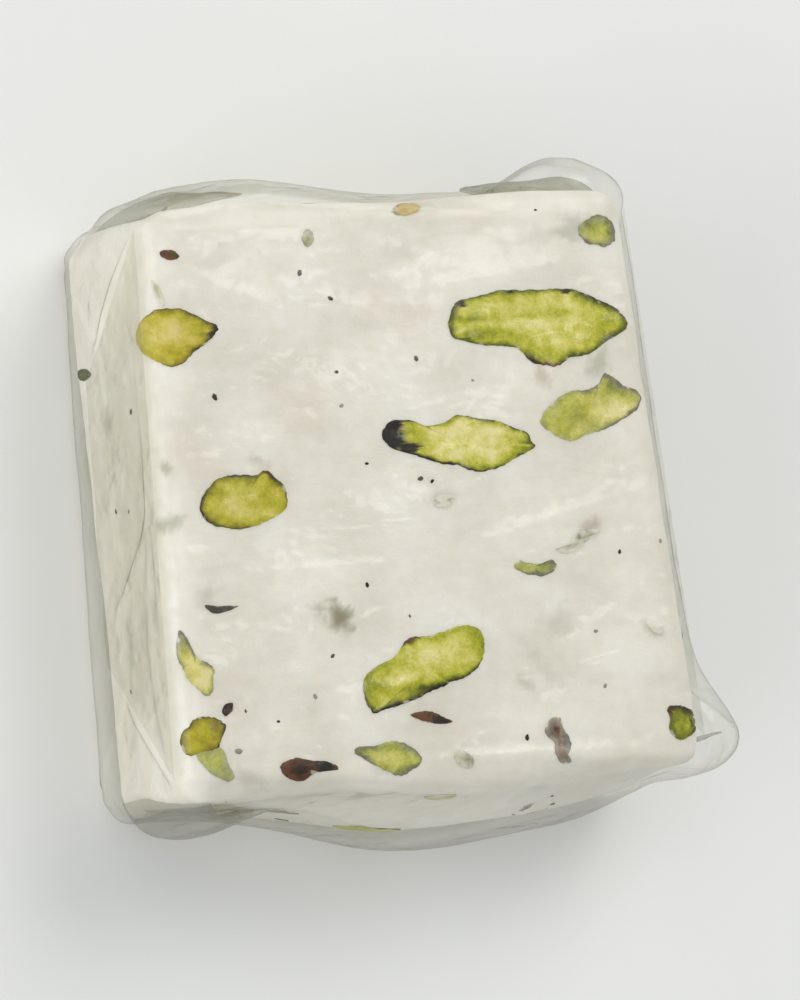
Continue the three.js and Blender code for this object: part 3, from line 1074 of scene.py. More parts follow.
@dataclass
class NougatBlock:
    """The block of sweet itself, a hair inside the film.

    Attributes:
        shape: The bar.
        inset: How far the sweet lies inside the bar's form.
        cuts: How finely its edges along X, Y and Z are cut.
        undercut: How far the left side draws in at its foot end, near the table.
        cloud_depth: The depth of the slow waves of the cut surface.
        drag_depth: The depth of the fine marks that the knife drags.
        glance: How far from straight on the face is looked at when its pieces are set out.
        stain_depth: How far in from its side a stain tints the block.
        stains: The nut pieces that lie under the surface.
        tree: A search tree of the built block.
    """

    shape: BarShape
    inset: float = 0.3
    cuts: tuple[int, int, int] = (126, 132, 46)
    undercut: float = 1.5
    cloud_depth: float = 0.16
    drag_depth: float = 0.05
    glance: tuple[float, float, float] = (-0.506, -0.113, 0.0)
    stain_depth: float = 3.0
    stains: tuple[Stain, ...] = ()
    tree: BVHTree | None = field(default=None, repr=False)

    def relief(self, point: Vector) -> float:
        """How far the soft cut surface stands above or below the true form.

        Args:
            point: A point of the surface.

        Returns:
            The height, below 0 in a dip.
        """
        slow = noise.noise(point * 0.16) * self.cloud_depth
        drag = noise.noise(Vector((point.x * 0.35, point.y * 1.1, point.z * 1.1 + 4.0))) * self.drag_depth
        return slow + drag

    def build(self) -> bmesh.types.BMesh:
        """Builds the block and keeps a search tree of it for what is seated on it.

        Returns:
            The block in the bar's frame.
        """
        bm = gridded_box(self.cuts)
        length = self.shape.length
        for vert in bm.verts:
            point, out = self.shape.wrap(vert.co, self.inset)
            height = point.z / self.shape.thickness
            footward = smoothstep(-point.y, -length * 0.45, length * 0.5)
            tuck = self.undercut * max(0.0, -out.x) * footward * (1 - smoothstep(height, 0.0, 0.75))
            vert.co = point + out * (self.relief(point) - tuck)
            vert.co.z = max(vert.co.z, self.inset)
        self.paint(bm)
        bm.normal_update()
        self.tree = BVHTree.FromBMesh(bm)
        return bm

    def paint(self, bm: bmesh.types.BMesh) -> None:
        """Writes how strongly covered nut pieces tint each point of the block.

        Args:
            bm: The block.
        """
        layers = [bm.verts.layers.float.new(name) for name in ("green_stain", "brown_stain")]
        points = np.array([v.co[:] for v in bm.verts])
        strength = np.zeros((2, len(points)))
        for stain in self.stains:
            middle = np.array(self.shape.on_side(stain.side, *stain.at))
            offset = points - middle
            across = offset @ np.array(stain.side.across)
            up = offset @ np.array(stain.side.up)
            deep = offset @ np.array(stain.side.out)
            cos, sin = math.cos(math.radians(stain.turn)), math.sin(math.radians(stain.turn))
            along = (across * cos + up * sin) / (stain.size[0] / 2)
            beside = (up * cos - across * sin) / (stain.size[1] / 2)
            distance = np.sqrt(along**2 + beside**2)
            shallow = np.abs(deep) < self.stain_depth
            near = np.nonzero((distance < 2) & shallow)[0]
            ragged = np.zeros(len(points))
            ragged[near] = [
                noise.noise(Vector(points[k]) * 1.1) + 0.6 * noise.noise(Vector(points[k]) * 2.7)
                for k in near
            ]
            cover = np.clip(1.2 * (1.15 + 0.55 * ragged - distance), 0, 1)
            share = stain.depth * cover * shallow
            row = int(stain.brown)
            strength[row] = np.maximum(strength[row], share)
        for index, vert in enumerate(bm.verts):
            for row, layer in enumerate(layers):
                vert[layer] = float(strength[row, index])

    def seat(self, side: Side, across: float, up: float, lift: float) -> Vector:
        """A point just above the block's surface, found from the side that it is looked at.

        What shows in the face is set out as it looks a little from the left, so that it runs on over the
        rounded edge.

        Args:
            side: The side that is looked at.
            across: Distance to the right of the side's middle.
            up: Distance above the side's middle.
            lift: Height above the surface.

        Returns:
            The point in the bar's frame.
        """
        way = (side.out + Vector(self.glance if side is Side.FACE else (0, 0, 0))).normalized()
        start = self.shape.on_side(side, across, up)
        hit, facing, _, _ = self.tree.ray_cast(start + way * 6, -way)
        if hit is None:
            hit, facing, _, _ = self.tree.find_nearest(start)
        return hit + (facing + way).normalized() * lift


@dataclass
class NutPieces:
    """Every cut piece of pistachio, as one mesh of closed kernels seated in the block.

    Attributes:
        block: The block, already built.
        cuts: The pieces.
        proud: How far a cut face stands above the sweet.
        least: The least that a cut face stands above it.
        bevel: How far the rim of a cut face drops.
        depth: How deep a large kernel's body reaches.
        greening: How much greener the flesh is near its edge.
        halo: How much greener it is beside a dark rim.
        thin_band: The width under which a stretch of rim or skin fades out.
        rings: The radii of the rings of a cut face, as shares of its outline.
        body: The radii and levels of the rings of the body below.
        segments: The least length of a kernel that takes so many points round, from large to small.
    """

    block: NougatBlock
    cuts: tuple[NutCut, ...]
    proud: float = 0.07
    least: float = 0.04
    bevel: float = 0.03
    depth: float = 1.5
    greening: float = 0.16
    halo: float = 0.34
    thin_band: float = 0.06
    rings: tuple[float, ...] = (0.985, 0.96, 0.93, 0.89, 0.84, 0.76, 0.65, 0.5, 0.3)
    body: tuple[tuple[float, float], ...] = ((0.97, -0.2), (0.86, -0.6), (0.5, -1.0))
    segments: tuple[tuple[float, int], ...] = ((9.0, 192), (3.5, 112), (0.0, 48))

    def rings_of(
        self, bm: bmesh.types.BMesh, segments: int
    ) -> list[tuple[bmesh.types.BMVert, float, float]]:
        """Draws rings in from a circle to a pole above, and down and in to a pole below.

        Args:
            bm: The mesh that takes them.
            segments: How many points a ring has.

        Returns:
            Each point with its share of the circle's radius and its level, 1 for the cut face.
        """
        outer = bmesh.ops.create_circle(bm, segments=segments, radius=1.0, cap_ends=False)["verts"]
        rim = list(dict.fromkeys(e for v in outer for e in v.link_edges))
        placed = [(v, 1.0, 1.0) for v in outer]
        for steps in ([(share, 1.0) for share in self.rings], self.body):
            edges, radius = rim, 1.0
            for share, level in steps:
                ring = bmesh.ops.extrude_edge_only(bm, edges=edges)["geom"]
                fresh = [g for g in ring if isinstance(g, bmesh.types.BMVert)]
                edges = [g for g in ring if isinstance(g, bmesh.types.BMEdge)]
                bmesh.ops.scale(bm, vec=(share / radius, share / radius, 1), verts=fresh)
                radius = share
                placed += [(v, share, level) for v in fresh]
            lid = bmesh.ops.contextual_create(bm, geom=edges)["faces"]
            poles = bmesh.ops.poke(bm, faces=lid)["verts"]
            placed += [(v, 0.0, steps[-1][1]) for v in poles]
        return placed

    def add_kernel(self, bm: bmesh.types.BMesh, cut: NutCut, layers: Layers) -> None:
        """Adds one kernel: its cut face, and a body that tapers into the sweet.

        Args:
            bm: The mesh that takes it.
            cut: The kernel.
            layers: The mesh's value layers by name.
        """
        seed = cut.at[0] * 3.7 + cut.at[1] * 1.9
        segments = next(count for least, count in self.segments if cut.length > least)
        known: dict[int, tuple[Vector, float]] = {}
        for v, radius, level in self.rings_of(bm, segments):
            share = (math.atan2(v.co.y, v.co.x) / math.tau) % 1.0
            key = round(share * segments)
            if key not in known:
                known[key] = cut.outline(share, seed)
            edge, reach = known[key]
            spot = edge * radius
            offset = cut.laid(spot)
            across, up = cut.at[0] + offset.x, cut.at[1] + offset.y
            place = Vector((across, up, seed))
            inside = (1 - radius) * reach
            if level > 0:
                crown = 0.06 * noise.noise(place * 0.55) + 0.04 * noise.noise(place * 1.7)
                raised = self.proud + crown * smoothstep(inside, 0, 0.8)
                lift = max(self.least, raised) - self.bevel * (1 - smoothstep(inside, 0, 0.2))
            else:
                lift = level * min(self.depth, 0.4 * cut.length)
            v.co = self.block.seat(cut.side, across, up, lift)
            self.dress(v, cut, inside if level > 0 else 0.0, spot, place, layers)

    def dress(
        self, v: bmesh.types.BMVert, cut: NutCut, inside: float, spot: Vector, place: Vector, layers: Layers
    ) -> None:
        """Writes the values that the finish reads at one point of a kernel.

        Args:
            v: The point.
            cut: Its kernel.
            inside: How far it lies in from the kernel's edge.
            spot: Where it lies from the kernel's middle.
            place: Where it lies on its side, for the noise.
            layers: The mesh's value layers by name.
        """
        direction = math.degrees(math.atan2(spot.y, spot.x))
        ragged = noise.noise(place * 1.3) + 0.5 * noise.noise(place * 3.9)

        def band(at: float, width: float, spread: float) -> float:
            """How fully a stretch of rim or skin covers this point.

            Args:
                at: The stretch's direction from the kernel's middle, in degrees.
                width: How far in from the edge it reaches there.
                spread: How far it runs to each side, in degrees.

            Returns:
                From 0, bare, to 1, covered.
            """
            off = (direction - at + 180) % 360 - 180
            wide = width * hump(off, 0, spread)
            if wide <= self.thin_band:
                return 0.0
            return 1 - smoothstep(inside + 0.4 * ragged * wide, wide * 0.2, wide * 1.3 + self.thin_band)

        edge_green = self.greening * (1 - smoothstep(inside, 0.0, 0.8))
        tone = cut.tone + 0.2 * noise.noise(place * 0.7) + edge_green
        haloes = (band(at, min(2.6 * width, 1.0), spread) for at, width, spread in cut.rims)
        tone += self.halo * max(haloes, default=0.0)
        for x, y, wide, tall, amount in cut.patches:
            tone += amount * hump(spot.x, x, wide) * hump(spot.y, y, tall)
        patchy = min(max(0.85 + 0.8 * ragged, 0.3), 1.0)
        rim = max((band(*stretch) for stretch in cut.rims), default=0.0) * patchy
        covers = []
        for x, y, wide, tall, warmth in cut.spots:
            away = math.hypot((spot.x - x) / wide, (spot.y - y) / tall)
            covers.append((1 - smoothstep(away + 0.35 * ragged, 0.75, 1.1), warmth))
        covers += [(band(*stretch), warmth) for *stretch, warmth in cut.skins]
        skin, warm = 0.0, 0.0
        for cover, warmth in covers:
            fresh = cover * (1 - skin)
            skin += fresh
            warm += fresh * warmth
        smear = cut.veil * (1 - smoothstep(inside, 0.0, 0.9))
        smear += 0.5 * smoothstep(ragged - 1.6 * inside, 0.32, 0.5)
        veil = cut.veil * (1 + 1.2 * ragged) + smear
        warm = min(max(warm / max(skin, 0.01) + 0.3 * ragged * warm, 0.0), 1.0)
        values = (tone, cut.ripe, rim, skin, warm, min(max(veil, 0.0), 1.0))
        for name, value in zip(NUT_VALUES, values, strict=True):
            v[layers[name]] = value

    def build(self) -> bmesh.types.BMesh:
        """Builds all the kernels.

        Returns:
            The kernels in the bar's frame.
        """
        bm = bmesh.new()
        layers = {name: bm.verts.layers.float.new(name) for name in NUT_VALUES}
        for cut in self.cuts:
            self.add_kernel(bm, cut, layers)
        bmesh.ops.recalc_face_normals(bm, faces=bm.faces[:])
        return bm


@dataclass
class NutCrumbs:
    """The small dark crumbs of skin, each a closed flattened pebble pressed into the surface.

    Attributes:
        block: The block, already built.
        places: The middles of the fine crumbs on each side.
        big: The place and size of each large crumb in the face.
        sizes: The least and greatest size of a fine one.
        seed: What the random draws start from.
    """

    block: NougatBlock
    places: dict[Side, list[tuple[float, float]]]
    big: tuple[tuple[float, float, float], ...] = (
        (-21.1, -18.3, 1.05), (-20.5, -22.0, 0.6), (-19.0, 8.8, 0.5)
    )
    sizes: tuple[float, float] = (0.22, 0.45)
    seed: int = 11

    def build(self) -> bmesh.types.BMesh:
        """Builds all the crumbs.

        Returns:
            The crumbs in the bar's frame.
        """
        bm = bmesh.new()
        layers = {name: bm.verts.layers.float.new(name) for name in NUT_VALUES}
        draw = random.Random(self.seed)
        for side, spots in self.places.items():
            sized = [(across, up, draw.uniform(*self.sizes)) for across, up in spots]
            for across, up, size in sized + (list(self.big) if side is Side.FACE else []):
                centre = self.block.seat(side, across, up, 0.0)
                turn = Matrix.Rotation(draw.uniform(0, math.tau), 3, side.out)
                pebble = bmesh.ops.create_icosphere(bm, subdivisions=1, radius=size / 2)["verts"]
                warm, veil = draw.uniform(0.0, 0.3), draw.choice((0.0, 0.1, 0.4))
                values = {"rim": 1.0, "tone": 0.8, "skin": 1.0, "warm": warm, "veil": veil}
                for v in pebble:
                    v.co *= 1 + 0.35 * noise.noise(v.co * 9 + centre)
                    flat = v.co - side.out * v.co.dot(side.out) * 0.55
                    stretched = flat + side.across * flat.dot(side.across) * 0.5
                    v.co = centre + turn @ stretched
                    for name, value in values.items():
                        v[layers[name]] = value
        return bm


# --- The film --------------------------------------------------------------------------------------------


@dataclass(frozen=True)
class Crease:
    """A straight raised fold in the film on one side of the bar.

    Attributes:
        side: The side.
        start: One end, across and up from the middle of the side.
        end: The other end.
        height: How far it stands up.
        width: The half width of its foot.
    """

    side: Side
    start: tuple[float, float]
    end: tuple[float, float]
    height: float
    width: float


@dataclass(frozen=True)
class Pillow:
    """A soft bulge of the film where it stands off the sweet.

    Attributes:
        side: The side.
        at: Its middle, across and up from the middle of the side.
        spread: Its reach across and up.
        height: How far it stands off.
        hold: How quickly it falls off round the block's corners.
    """

    side: Side
    at: tuple[float, float]
    spread: tuple[float, float]
    height: float
    hold: float = 0.8


PILLOWS = (
    Pillow(Side.HEAD, (-18.5, 5.5), (4.8, 6.0), 2.7), Pillow(Side.HEAD, (15.0, 4.5), (13.0, 6.5), 1.9),
    Pillow(Side.FOOT, (3.0, -4.0), (16.0, 8.0), 1.5), Pillow(Side.FOOT, (18.0, -1.0), (5.0, 8.0), 0.5),
    Pillow(Side.LEFT, (-17.0, 1.0), (9.0, 6.0), 0.5),
    Pillow(Side.RIGHT, (-24.5, 4.0), (5.6, 7.5), 3.9, 2.4),
    Pillow(Side.RIGHT, (14.0, -1.0), (9.0, 7.0), 0.5)
)


CREASES = (
    Crease(Side.FACE, (-22.5, 21.0), (-17.5, 12.5), 0.10, 0.5),
    Crease(Side.FACE, (-20.5, 20.0), (-10.5, 15.5), 0.18, 0.6),
    Crease(Side.FACE, (-9.0, 17.8), (-2.0, 15.0), 0.18, 0.5),
    Crease(Side.FACE, (-10.0, 16.0), (1.0, 16.6), 0.08, 0.5),
    Crease(Side.FACE, (4.0, 17.5), (17.0, 19.5), 0.16, 0.7),
    Crease(Side.FACE, (-21.0, -7.0), (2.0, -6.5), 0.18, 0.8),
    Crease(Side.FACE, (2.0, -6.0), (24.0, -1.0), 0.16, 0.8),
    Crease(Side.FACE, (9.0, -17.0), (21.0, -10.0), 0.18, 0.6),
    Crease(Side.FACE, (6.0, -21.0), (13.0, -14.0), 0.08, 0.6),
    Crease(Side.FACE, (-22.0, -24.0), (-15.0, -20.0), 0.12, 0.6),
    Crease(Side.LEFT, (-24.5, 8.5), (-14.5, -1.5), 0.65, 0.45),
    Crease(Side.LEFT, (0.5, 7.0), (9.5, -2.5), 0.60, 0.45),
    Crease(Side.LEFT, (-20.0, 6.6), (14.0, 6.9), 0.30, 0.6),
    Crease(Side.LEFT, (-12.0, 9.0), (8.0, 4.5), 0.40, 0.6),
    Crease(Side.LEFT, (8.0, 4.5), (24.0, 6.5), 0.32, 0.7),
    Crease(Side.LEFT, (24.5, 7.5), (15.5, -1.5), 0.60, 0.45),
    Crease(Side.RIGHT, (-24.5, 8.0), (-15.5, -1.0), 0.35, 0.5),
    Crease(Side.RIGHT, (24.5, 8.0), (15.5, -1.0), 0.35, 0.5),
    Crease(Side.RIGHT, (-10.0, 5.0), (12.0, 3.5), 0.20, 0.7),
    Crease(Side.HEAD, (-22.0, 7.5), (-6.0, 1.0), 0.25, 0.7),
    Crease(Side.HEAD, (20.0, 7.0), (3.0, 5.5), 0.20, 0.8),
    Crease(Side.HEAD, (20.0, -7.0), (4.0, -2.5), 0.20, 0.8),
    Crease(Side.FOOT, (-20.0, 6.5), (-4.0, 1.0), 0.30, 0.9),
    Crease(Side.FOOT, (22.0, 5.5), (6.0, -3.0), 0.25, 0.9),
    Crease(Side.FOOT, (-8.0, -6.0), (18.0, -5.0), 0.20, 0.8)
)


@dataclass
class FilmWrap:
    """The film drawn round the block, as one closed skin with its folds and slack.

    Attributes:
        shape: The bar.
        cuts: How finely its edges along X, Y and Z are cut.
        back_gap: How far above the table it runs under the block.
        slack: How far it stands off and lies in, in slow waves.
        ripple: The height of its fine ripples.
        puff: How far it stands off the upright sides at mid-height.
        fold_rise: How high the fold tucked up from the back reaches.
        fold_step: How much that fold thickens the skin.
        fold_end: How far from the bar's ends the fold stops.
        creases: Its straight folds.
        pillows: Where it bulges.
    """

    shape: BarShape
    cuts: tuple[int, int, int] = (160, 166, 60)
    back_gap: float = 0.12
    slack: float = 0.16
    ripple: float = 0.05
    puff: float = 0.35
    fold_rise: float = 9.0
    fold_step: float = 0.22
    fold_end: float = 2.0
    creases: tuple[Crease, ...] = CREASES
    pillows: tuple[Pillow, ...] = PILLOWS

    def raised(self, points: np.ndarray, outs: np.ndarray) -> np.ndarray:
        """How far the creases and pillows lift each point.

        Args:
            points: The skin's points.
            outs: The direction in which the skin faces at each.

        Returns:
            One lift for each point.
        """
        lifts = np.zeros(len(points))
        for crease in self.creases:
            start = np.array(self.shape.on_side(crease.side, *crease.start))
            end = np.array(self.shape.on_side(crease.side, *crease.end))
            run = end - start
            length = float(np.linalg.norm(run))
            offset = points - start
            share = np.clip(offset @ run / length**2, 0, 1)
            flat = offset - share[:, None] * run
            out = np.array(crease.side.out)
            flat -= (flat @ out)[:, None] * out
            distance = np.linalg.norm(flat, axis=1)
            facing = np.clip(outs @ out, 0, 1)
            ends = np.sin(np.pi * np.clip(share, 0.02, 0.98)) ** 0.5
            profile = np.exp(-((distance / crease.width) ** 1.4))
            lifts += crease.height * profile * ends * facing
        for pillow in self.pillows:
            offset = points - np.array(self.shape.on_side(pillow.side, *pillow.at))
            across = offset @ np.array(pillow.side.across) / pillow.spread[0]
            up = offset @ np.array(pillow.side.up) / pillow.spread[1]
            facing = np.clip(outs @ np.array(pillow.side.out), 0, 1)
            lifts += pillow.height * np.exp(-(across**2) - up**4) * facing**pillow.hold
        return lifts

    def fold(self, point: Vector, out: Vector) -> float:
        """How far the fold tucked up from the back thickens the skin of a long side.

        Args:
            point: A point of the skin.
            out: The direction in which the skin faces there.

        Returns:
            The thickness that the fold adds.
        """
        top = self.fold_rise + 0.5 * noise.noise(Vector((point.y * 0.12, 9.0, out.x)))
        inside = min(top - point.z, (self.shape.length / 2 - self.fold_end - point.z) - abs(point.y))
        return self.fold_step * abs(out.x) ** 4 * smoothstep(inside, -0.2, 0.2)

    def build(self) -> bmesh.types.BMesh:
        """Builds the skin.

        Returns:
            The skin in the bar's frame.
        """
        bm = gridded_box(self.cuts)
        pairs = [self.shape.wrap(v.co, 0.0) for v in bm.verts]
        points = np.array([p[:] for p, _ in pairs])
        outs = np.array([o[:] for _, o in pairs])
        lifts = self.raised(points, outs)
        thickness = self.shape.thickness
        for vert, (point, out), lift in zip(bm.verts, pairs, lifts, strict=True):
            height = point.z / thickness
            upright = 1 - abs(out.z)
            slack = self.slack * noise.noise(point * 0.13 + Vector((3, 8, 2)))
            ripple = self.ripple * noise.noise(Vector((point.x * 0.9, point.y * 0.35, point.z * 0.6)))
            belly = math.sin(math.pi * min(max(height, 0), 1))
            puff = self.puff * upright * belly * (0.5 + noise.noise(point * 0.09))
            off = slack + ripple + puff * abs(out.x) + self.fold(point, out) + float(lift)
            vert.co = point + out * off
            if out.z < -0.5 or vert.co.z < self.back_gap:
                vert.co.z = max(vert.co.z, self.back_gap)
        bm.normal_update()
        return bm


@dataclass(frozen=True)
class Ear:
    """A three-cornered ear of doubled film on an upright edge.

    Attributes:
        corner: The signs of X and Y of its corner.
        root: Degrees round the corner at which it leaves the bar.
        leaving: The heading at which it leaves, in degrees in plan.
        heading: The heading that it settles to.
        reach: How far it reaches.
        droop: How far its point hangs below mid-height.
        pocket: Half its width where it leaves the bar.
        wave: How much it is crumpled.
    """

    corner: tuple[int, int]
    root: float
    leaving: float
    heading: float
    reach: float
    droop: float
    pocket: float
    wave: float


EARS = (
    Ear((-1, -1), -100, -75, 10, 15.4, 3.4, 1.3, 0.25), Ear((1, -1), -20, -8, 10, 7.2, -1.5, 0.5, 0.15),
    Ear((-1, 1), 100, 70, 4, 12.4, -1.5, 1.0, 0.3), Ear((1, 1), 80, 105, 176, 11.2, -1.0, 1.3, 0.35)
)


@dataclass
class FilmEars:
    """The four ears, each a closed pocket of film that narrows to a point.

    Attributes:
        shape: The bar.
        ears: What each ear is like.
        margin: How far below the face and above the back an ear starts.
        tip: Half the height of its point.
        seat: How far out of the corner's middle its line starts, as a share of the corner's radius.
        thin: Half the thickness of its closed part.
        cuts: How finely it is cut along, through and up.
    """

    shape: BarShape
    ears: tuple[Ear, ...] = EARS
    margin: float = 0.9
    tip: float = 0.5
    seat: float = 0.3
    thin: float = 0.05
    cuts: tuple[int, int, int] = (48, 1, 48)

    def route(self, ear: Ear, steps: int) -> list[tuple[Vector, Vector]]:
        """The ear's line in plan, from the bar outwards.

        Args:
            ear: The ear.
            steps: How many points the line has after its first.

        Returns:
            Each point of the line with its sideways direction.
        """
        radius = self.shape.upright_radius
        y = ear.corner[1] * (self.shape.length / 2 - radius)
        centre = Vector((ear.corner[0] * (self.shape.half_width(y) - radius), y, 0))
        angle = math.radians(ear.root)
        point = centre + Vector((math.cos(angle), math.sin(angle), 0)) * radius * self.seat
        line = []
        for k in range(steps + 1):
            share = k / steps
            heading = math.radians(ear.leaving + (ear.heading - ear.leaving) * smoothstep(share, 0.0, 0.4))
            way = Vector((math.cos(heading), math.sin(heading), 0))
            line.append((point.copy(), Vector((-way.y, way.x, 0))))
            point += way * ear.reach / steps
        return line

    def build(self) -> bmesh.types.BMesh:
        """Builds the four ears.

        Returns:
            The ears in the bar's frame.
        """
        bm = bmesh.new()
        for index, ear in enumerate(self.ears):
            pocket = gridded_box(self.cuts)
            steps = self.cuts[0] + 1
            line = self.route(ear, steps)
            low, high = self.margin, self.shape.thickness - self.margin
            middle, half = (low + high) / 2, (high - low) / 2
            for v in pocket.verts:
                share = (v.co.x + 1) / 2
                spot, side = line[round(share * steps)]
                narrow = (1 - share) ** 0.9 * half + self.tip * share
                height = middle - ear.droop * share + v.co.z * narrow
                seed = Vector((share * 3.4, v.co.z * 1.9, index * 5.0))
                rough = noise.noise(seed) + 0.35 * noise.noise(seed * 3.1)
                crumple = ear.wave * rough * share * (1.6 - share)
                open_half = self.thin + ear.pocket * (1 - share) ** 1.2 * math.sqrt(max(0.0, 1 - v.co.z**2))
                v.co = spot + side * (v.co.y * open_half + crumple)
                v.co.z = height
            take_in(bm, pocket)
        return bm


@dataclass
class FilmFlaps:
    """The film's last folded ends, which come down from the face over the long sides.

    Attributes:
        shape: The bar.
        drop: How far down a flap reaches.
        edge_gap: How far below the face it starts.
        end_gap: How far from the bar's ends it starts.
        stand_off: How far it stands off the side.
        sheet: Its thickness, larger than life so that its two faces stay apart.
        slant: How much each end runs in, as a share of the way down.
        cuts: How finely it is cut along, down and through.
    """

    shape: BarShape
    drop: float = 12.0
    edge_gap: float = 1.6
    end_gap: float = 2.0
    stand_off: float = 0.38
    sheet: float = 0.04
    slant: float = 0.96
    cuts: tuple[int, int, int] = (120, 34, 1)

    def add_flap(self, bm: bmesh.types.BMesh, side: Side) -> None:
        """Adds the flap of one long side.

        Args:
            bm: The mesh that takes it.
            side: LEFT or RIGHT.
        """
        half = self.shape.length / 2 - self.end_gap
        flap = gridded_box(self.cuts)
        for v in flap.verts:
            down = (v.co.y + 1) / 2
            along = v.co.x * (half - down * self.drop * self.slant)
            hem = smoothstep(down, 0.7, 1.0)
            waver = hem * 0.7 * noise.noise(Vector((along * 0.12, 3.0, side.out.x)))
            z = self.shape.thickness - self.edge_gap - down * self.drop + waver
            y = along * side.across.y
            ripple = 0.10 * noise.noise(Vector((along * 0.25, down * 2.2, side.out.x * 4))) * down
            curl = 0.2 * hem * (0.6 + noise.noise(Vector((along * 0.2, 1.0, side.out.x))))
            lift = self.stand_off + curl + ripple + v.co.z * self.sheet / 2
            v.co = Vector((side.out.x * (self.shape.half_width(y) + lift), y, z))
        take_in(bm, flap)

    def build(self) -> bmesh.types.BMesh:
        """Builds the two flaps.

        Returns:
            The flaps in the bar's frame.
        """
        bm = bmesh.new()
        for side in (Side.LEFT, Side.RIGHT):
            self.add_flap(bm, side)
        bmesh.ops.recalc_face_normals(bm, faces=bm.faces[:])
        return bm


@dataclass
class FilmSeam:
    """The lap on the back where the film's two edges are sealed, a thin strip that runs across the bar.

    Attributes:
        shape: The bar.
        width: How far the two edges lap.
        end_gap: How far from the bar's sides it stops.
        sheet: Its thickness.
        low: How far above the table it lies.
        cuts: How finely it is cut across, along and through.
    """

    shape: BarShape
    width: float = 8.0
    end_gap: float = 3.0
    sheet: float = 0.04
    low: float = 0.03
    cuts: tuple[int, int, int] = (60, 12, 1)

    def build(self) -> bmesh.types.BMesh:
        """Builds the lap.

        Returns:
            The lap in the bar's frame.
        """
        bm = gridded_box(self.cuts)
        for v in bm.verts:
            x = v.co.x * (self.shape.half_width(0) - self.end_gap)
            y = v.co.y * self.width / 2 + 0.3 * math.sin(x * 0.2)
            v.co = Vector((x, y, self.low + (v.co.z + 1) / 2 * self.sheet))
        return bm


# --- The studio ------------------------------------------------------------------------------------------


@dataclass(frozen=True)
class SoftLight:
    """A square soft box that faces the bar.

    Attributes:
        name: Its name.
        at: Where it stands from the bar's middle, in metres.
        size: Its side, in metres.
        power: Its power, in watts.
        tint: Its colour as hex.
    """

    name: str
    at: tuple[float, float, float]
    size: float
    power: float
    tint: str = "ffffff"


@dataclass
class Studio:
    """The table, the lights and the camera.

    Attributes:
        shape: The bar.
        lights: The soft boxes.
        sky: The colour of the light from all round, as hex.
        sky_strength: How strong that light is.
        table_half: Half the table's side, in metres.
        table_drop: How far the table lies under the bar, in millimetres.
        camera_way: The direction from the bar to the camera.
        camera_roll: How far the camera is rolled, in radians.
        camera_distance: How far away it is, in metres.
        lens: Its focal length, in millimetres.
        sensor: Its sensor's width, in millimetres.
        clip: The nearest and farthest that it sees, in metres.
        aim: The point that it looks at, in the bar's frame.
    """

    shape: BarShape
    lights: tuple[SoftLight, ...] = (
        SoftLight("head_box", (0.24, 0.33, 0.48), 0.34, 1.40, "fffdf8"),
        SoftLight("top_box", (-0.22, 0.26, 0.58), 0.40, 0.35, "fbfdff"),
        SoftLight("left_fill", (-0.62, -0.12, 0.20), 0.50, 1.85, "fdfdff")
    )
    sky: str = "eef1f4"
    sky_strength: float = 0.60
    table_half: float = 3.0
    table_drop: float = 0.02
    camera_way: tuple[float, float, float] = (-0.4495, -0.10, 0.8876)
    camera_roll: float = 0.114
    camera_distance: float = 0.692
    lens: float = 280.8
    sensor: float = 36.0
    clip: tuple[float, float] = (0.01, 20.0)
    aim: tuple[float, float, float] = (2.55, -0.1, 9.5)

    def middle(self) -> Vector:
        """The point that the camera looks at, in the part's frame."""
        return self.shape.place() @ Vector(self.aim)

    def table(self) -> None:
        """Lays the table that the bar rests on."""
        bm = bmesh.new()
        bmesh.ops.create_grid(bm, x_segments=8, y_segments=8, size=self.table_half)
        bmesh.ops.translate(bm, vec=(0, 0, -self.table_drop * MM), verts=bm.verts[:])
        mesh = bpy.data.meshes.new("table")
        bm.to_mesh(mesh)
        bm.free()
        mesh.materials.append(TableFinish().material())
        table = bpy.data.objects.new("table", mesh)
        bpy.context.scene.collection.objects.link(table)

    def lamps(self) -> None:
        """Hangs the soft boxes and the sky."""
        middle = self.middle()
        for light in self.lights:
            data = bpy.data.lights.new(light.name, "AREA")
            data.shape = "SQUARE"
            data.size = light.size
            data.energy = light.power
            data.color = linear(light.tint)[:3]
            lamp = bpy.data.objects.new(light.name, data)
            lamp.location = middle + Vector(light.at)
            lamp.rotation_euler = Vector(light.at).to_track_quat("Z", "Y").to_euler()
            bpy.context.scene.collection.objects.link(lamp)
        world = bpy.data.worlds.new("studio")
        world.use_nodes = True
        backing = world.node_tree.nodes["Background"]
        backing.inputs["Color"].default_value = linear(self.sky)
        backing.inputs["Strength"].default_value = self.sky_strength
        bpy.context.scene.world = world

    def camera(self) -> None:
        """Sets the camera: from the left and a little from the foot, looking down on the face."""
        way = Vector(self.camera_way).normalized()
        level = Vector((0, 1, 0))
        level = (level - way * level.dot(way)).normalized()
        right = level.cross(way)
        up = level * math.cos(self.camera_roll) + right * math.sin(self.camera_roll)
        right = up.cross(way)
        data = bpy.data.cameras.new("camera")
        data.lens = self.lens
        data.sensor_width = self.sensor
        data.clip_start, data.clip_end = self.clip
        camera = bpy.data.objects.new("camera", data)
        camera.matrix_world = Matrix((right, up, way)).transposed().to_4x4()
        camera.location = self.middle() + way * self.camera_distance
        bpy.context.scene.collection.objects.link(camera)
        bpy.context.scene.camera = camera

    def build(self) -> None:
        """Sets up the table, the lights and the camera."""
        self.camera()
        self.table()
        self.lamps()
        bpy.context.scene.view_settings.view_transform = "Standard"


# --- The bar ---------------------------------------------------------------------------------------------


